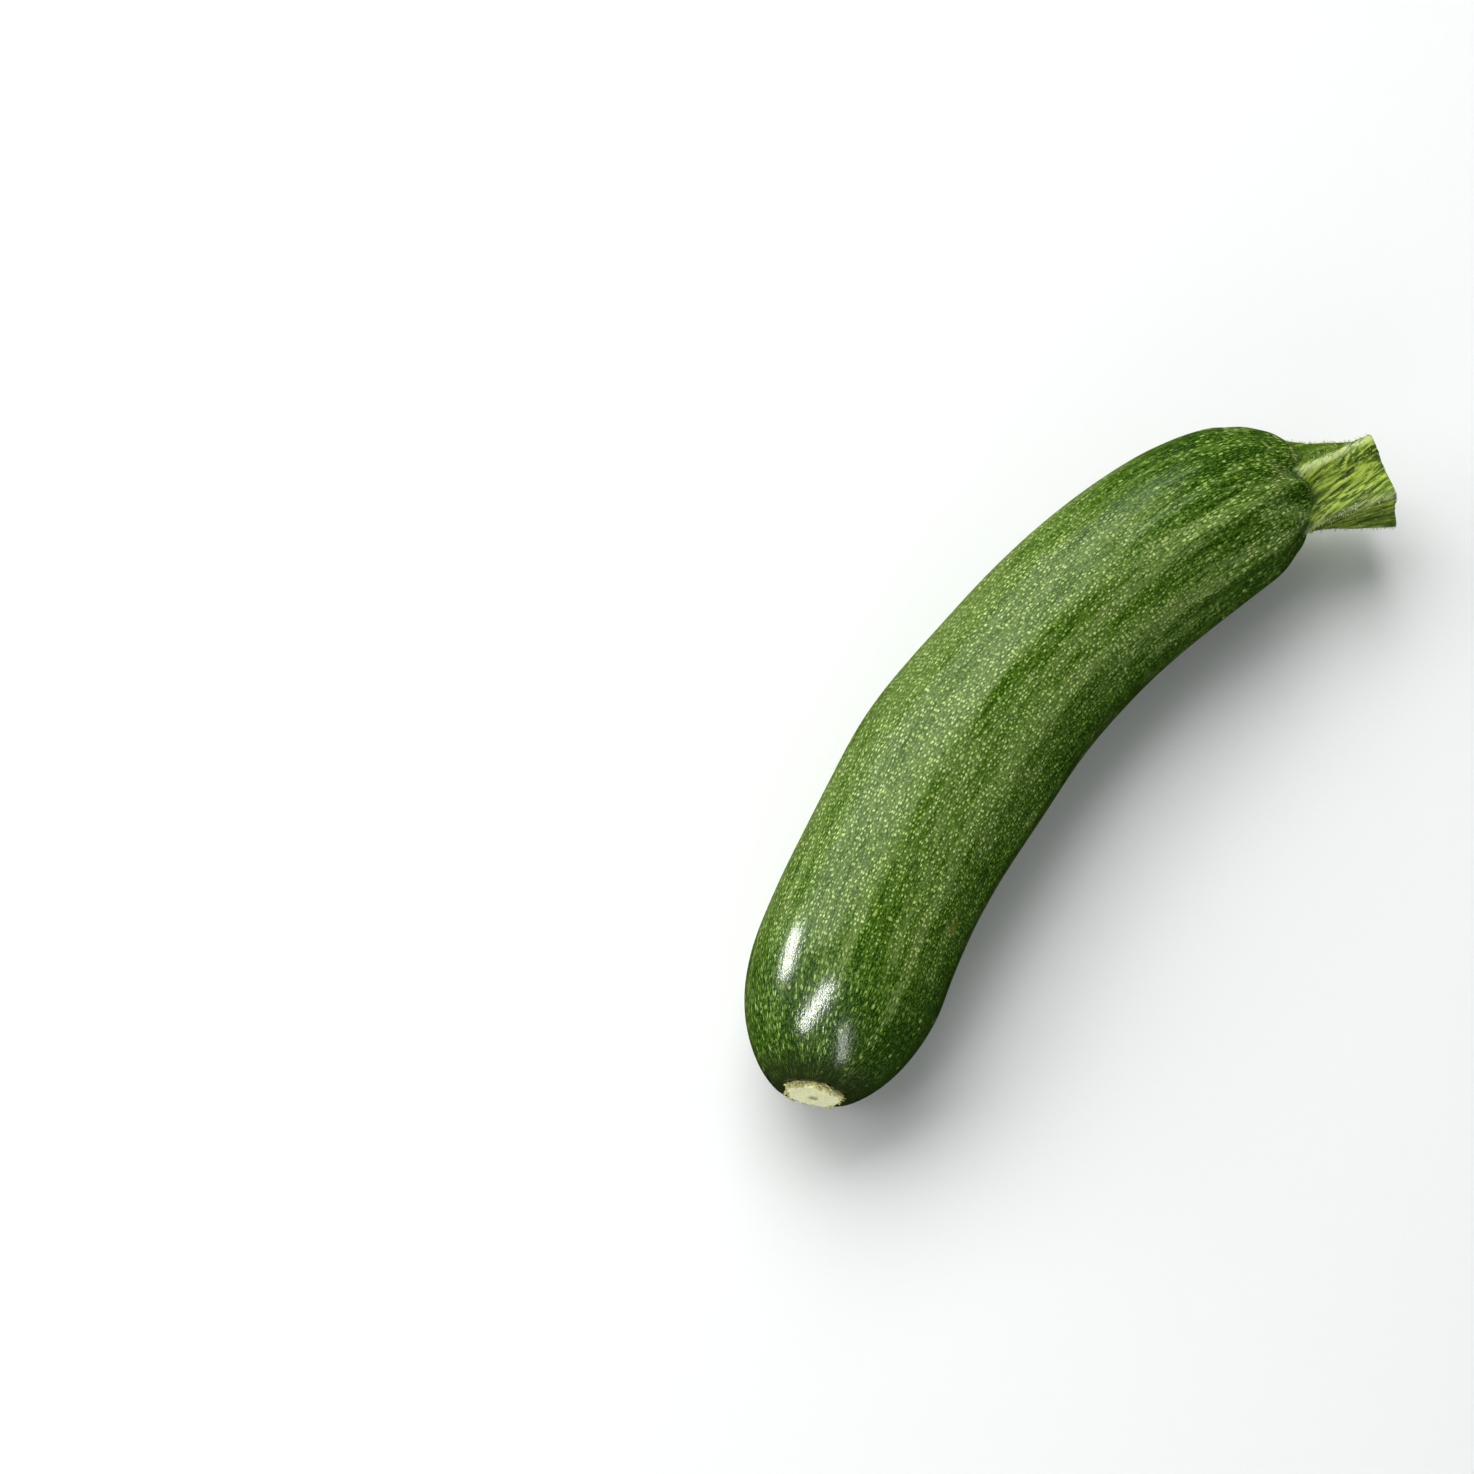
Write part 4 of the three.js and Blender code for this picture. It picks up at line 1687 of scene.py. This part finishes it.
@dataclass
class Studio:
    """The pale floor, the soft lights and the camera at the photograph's angle."""

    lens: float = 100
    sensor: float = 36
    elevation: float = 66
    azimuth: float = -52.94
    distance: float = 948.9 * MM
    aim: tuple[float, float, float] = (-35.9 * MM, 60.9 * MM, 0)
    daylight: Colour = (0.94, 0.97, 1.0)
    daylight_strength: float = 0.26
    lamps: tuple[Lamp, ...] = (
        Lamp("overhead_box", Task.LIGHT, 62, 56, 1.3, 1.3, 1.1, 17.0),
        Lamp("left_fill", Task.LIGHT, 125, 35, 1.2, 0.7, 0.6, 3.5),
        Lamp("end_fill", Task.LIGHT, -152, 26, 0.8, 0.4, 0.4, 1.1, (-0.1, -0.01, 0.02)),
        Lamp("side_window", Task.GLOSS, 102.3, 21.6, 1.5, 0.56, 0.4, 60.0, (-0.085, 0.012, 0.038)),
        Lamp("top_panel", Task.GLOSS, 163, 57, 1.5, 0.19, 0.95, 66.0, (-0.092, -0.002, 0.039)),
        Lamp("front_card", Task.GLOSS, -128.4, 34.7, 1.5, 0.18, 1.0, 19.0, (-0.092, -0.008, 0.037)),
        Lamp("soft_sheen", Task.GLOSS, 62, 42, 1.4, 1.3, 0.9, 11.0),
    )
    floor_finish: FloorFinish = FloorFinish()

    def build(self) -> None:
        """Sets the floor, the lights and the camera."""
        self.set_floor()
        for lamp in self.lamps:
            lamp.hang()
        world = bpy.data.worlds.new("daylight")
        world.use_nodes = True
        ground = world.node_tree.nodes["Background"]
        ground.inputs["Color"].default_value = (*self.daylight, 1.0)
        ground.inputs["Strength"].default_value = self.daylight_strength
        world.cycles_visibility.glossy = False
        bpy.context.scene.world = world
        bpy.context.scene.view_settings.view_transform = "Standard"
        self.set_camera()

    def set_floor(self) -> None:
        """Lays the floor."""
        nothing_selected()
        bpy.ops.mesh.primitive_plane_add(size=8, location=(0, 0, 0))
        floor = bpy.context.object
        floor.name = "floor"
        floor.data.materials.append(self.floor_finish.material())
        floor.visible_glossy = False

    def set_camera(self) -> None:
        """Sets the camera as the photograph sees the fruit."""
        azimuth, elevation = math.radians(self.azimuth), math.radians(self.elevation)
        level = math.cos(elevation)
        ahead = Vector((-math.sin(azimuth) * level, math.cos(azimuth) * level, -math.sin(elevation)))
        data = bpy.data.cameras.new("camera")
        data.lens = self.lens
        data.sensor_width = self.sensor
        data.clip_start = 0.01
        camera = bpy.data.objects.new("camera", data)
        camera.location = Vector(self.aim) - ahead * self.distance
        camera.rotation_euler = ahead.to_track_quat("-Z", "Y").to_euler()
        bpy.context.collection.objects.link(camera)
        bpy.context.scene.camera = camera


def main() -> None:
    """Builds and dresses the zucchini, then sets the studio."""
    logging.basicConfig(level=logging.INFO, format="%(name)s: %(message)s")
    bow = Bow()
    form = FruitForm(length=bow.length)
    for part in (Fruit(form), Stem(form), BlossomScar(form)):
        part.build(bow)
        part.dress()
        log.info("%s is dressed", type(part).__name__)
    Studio().build()


if __name__ == "__main__":
    main()
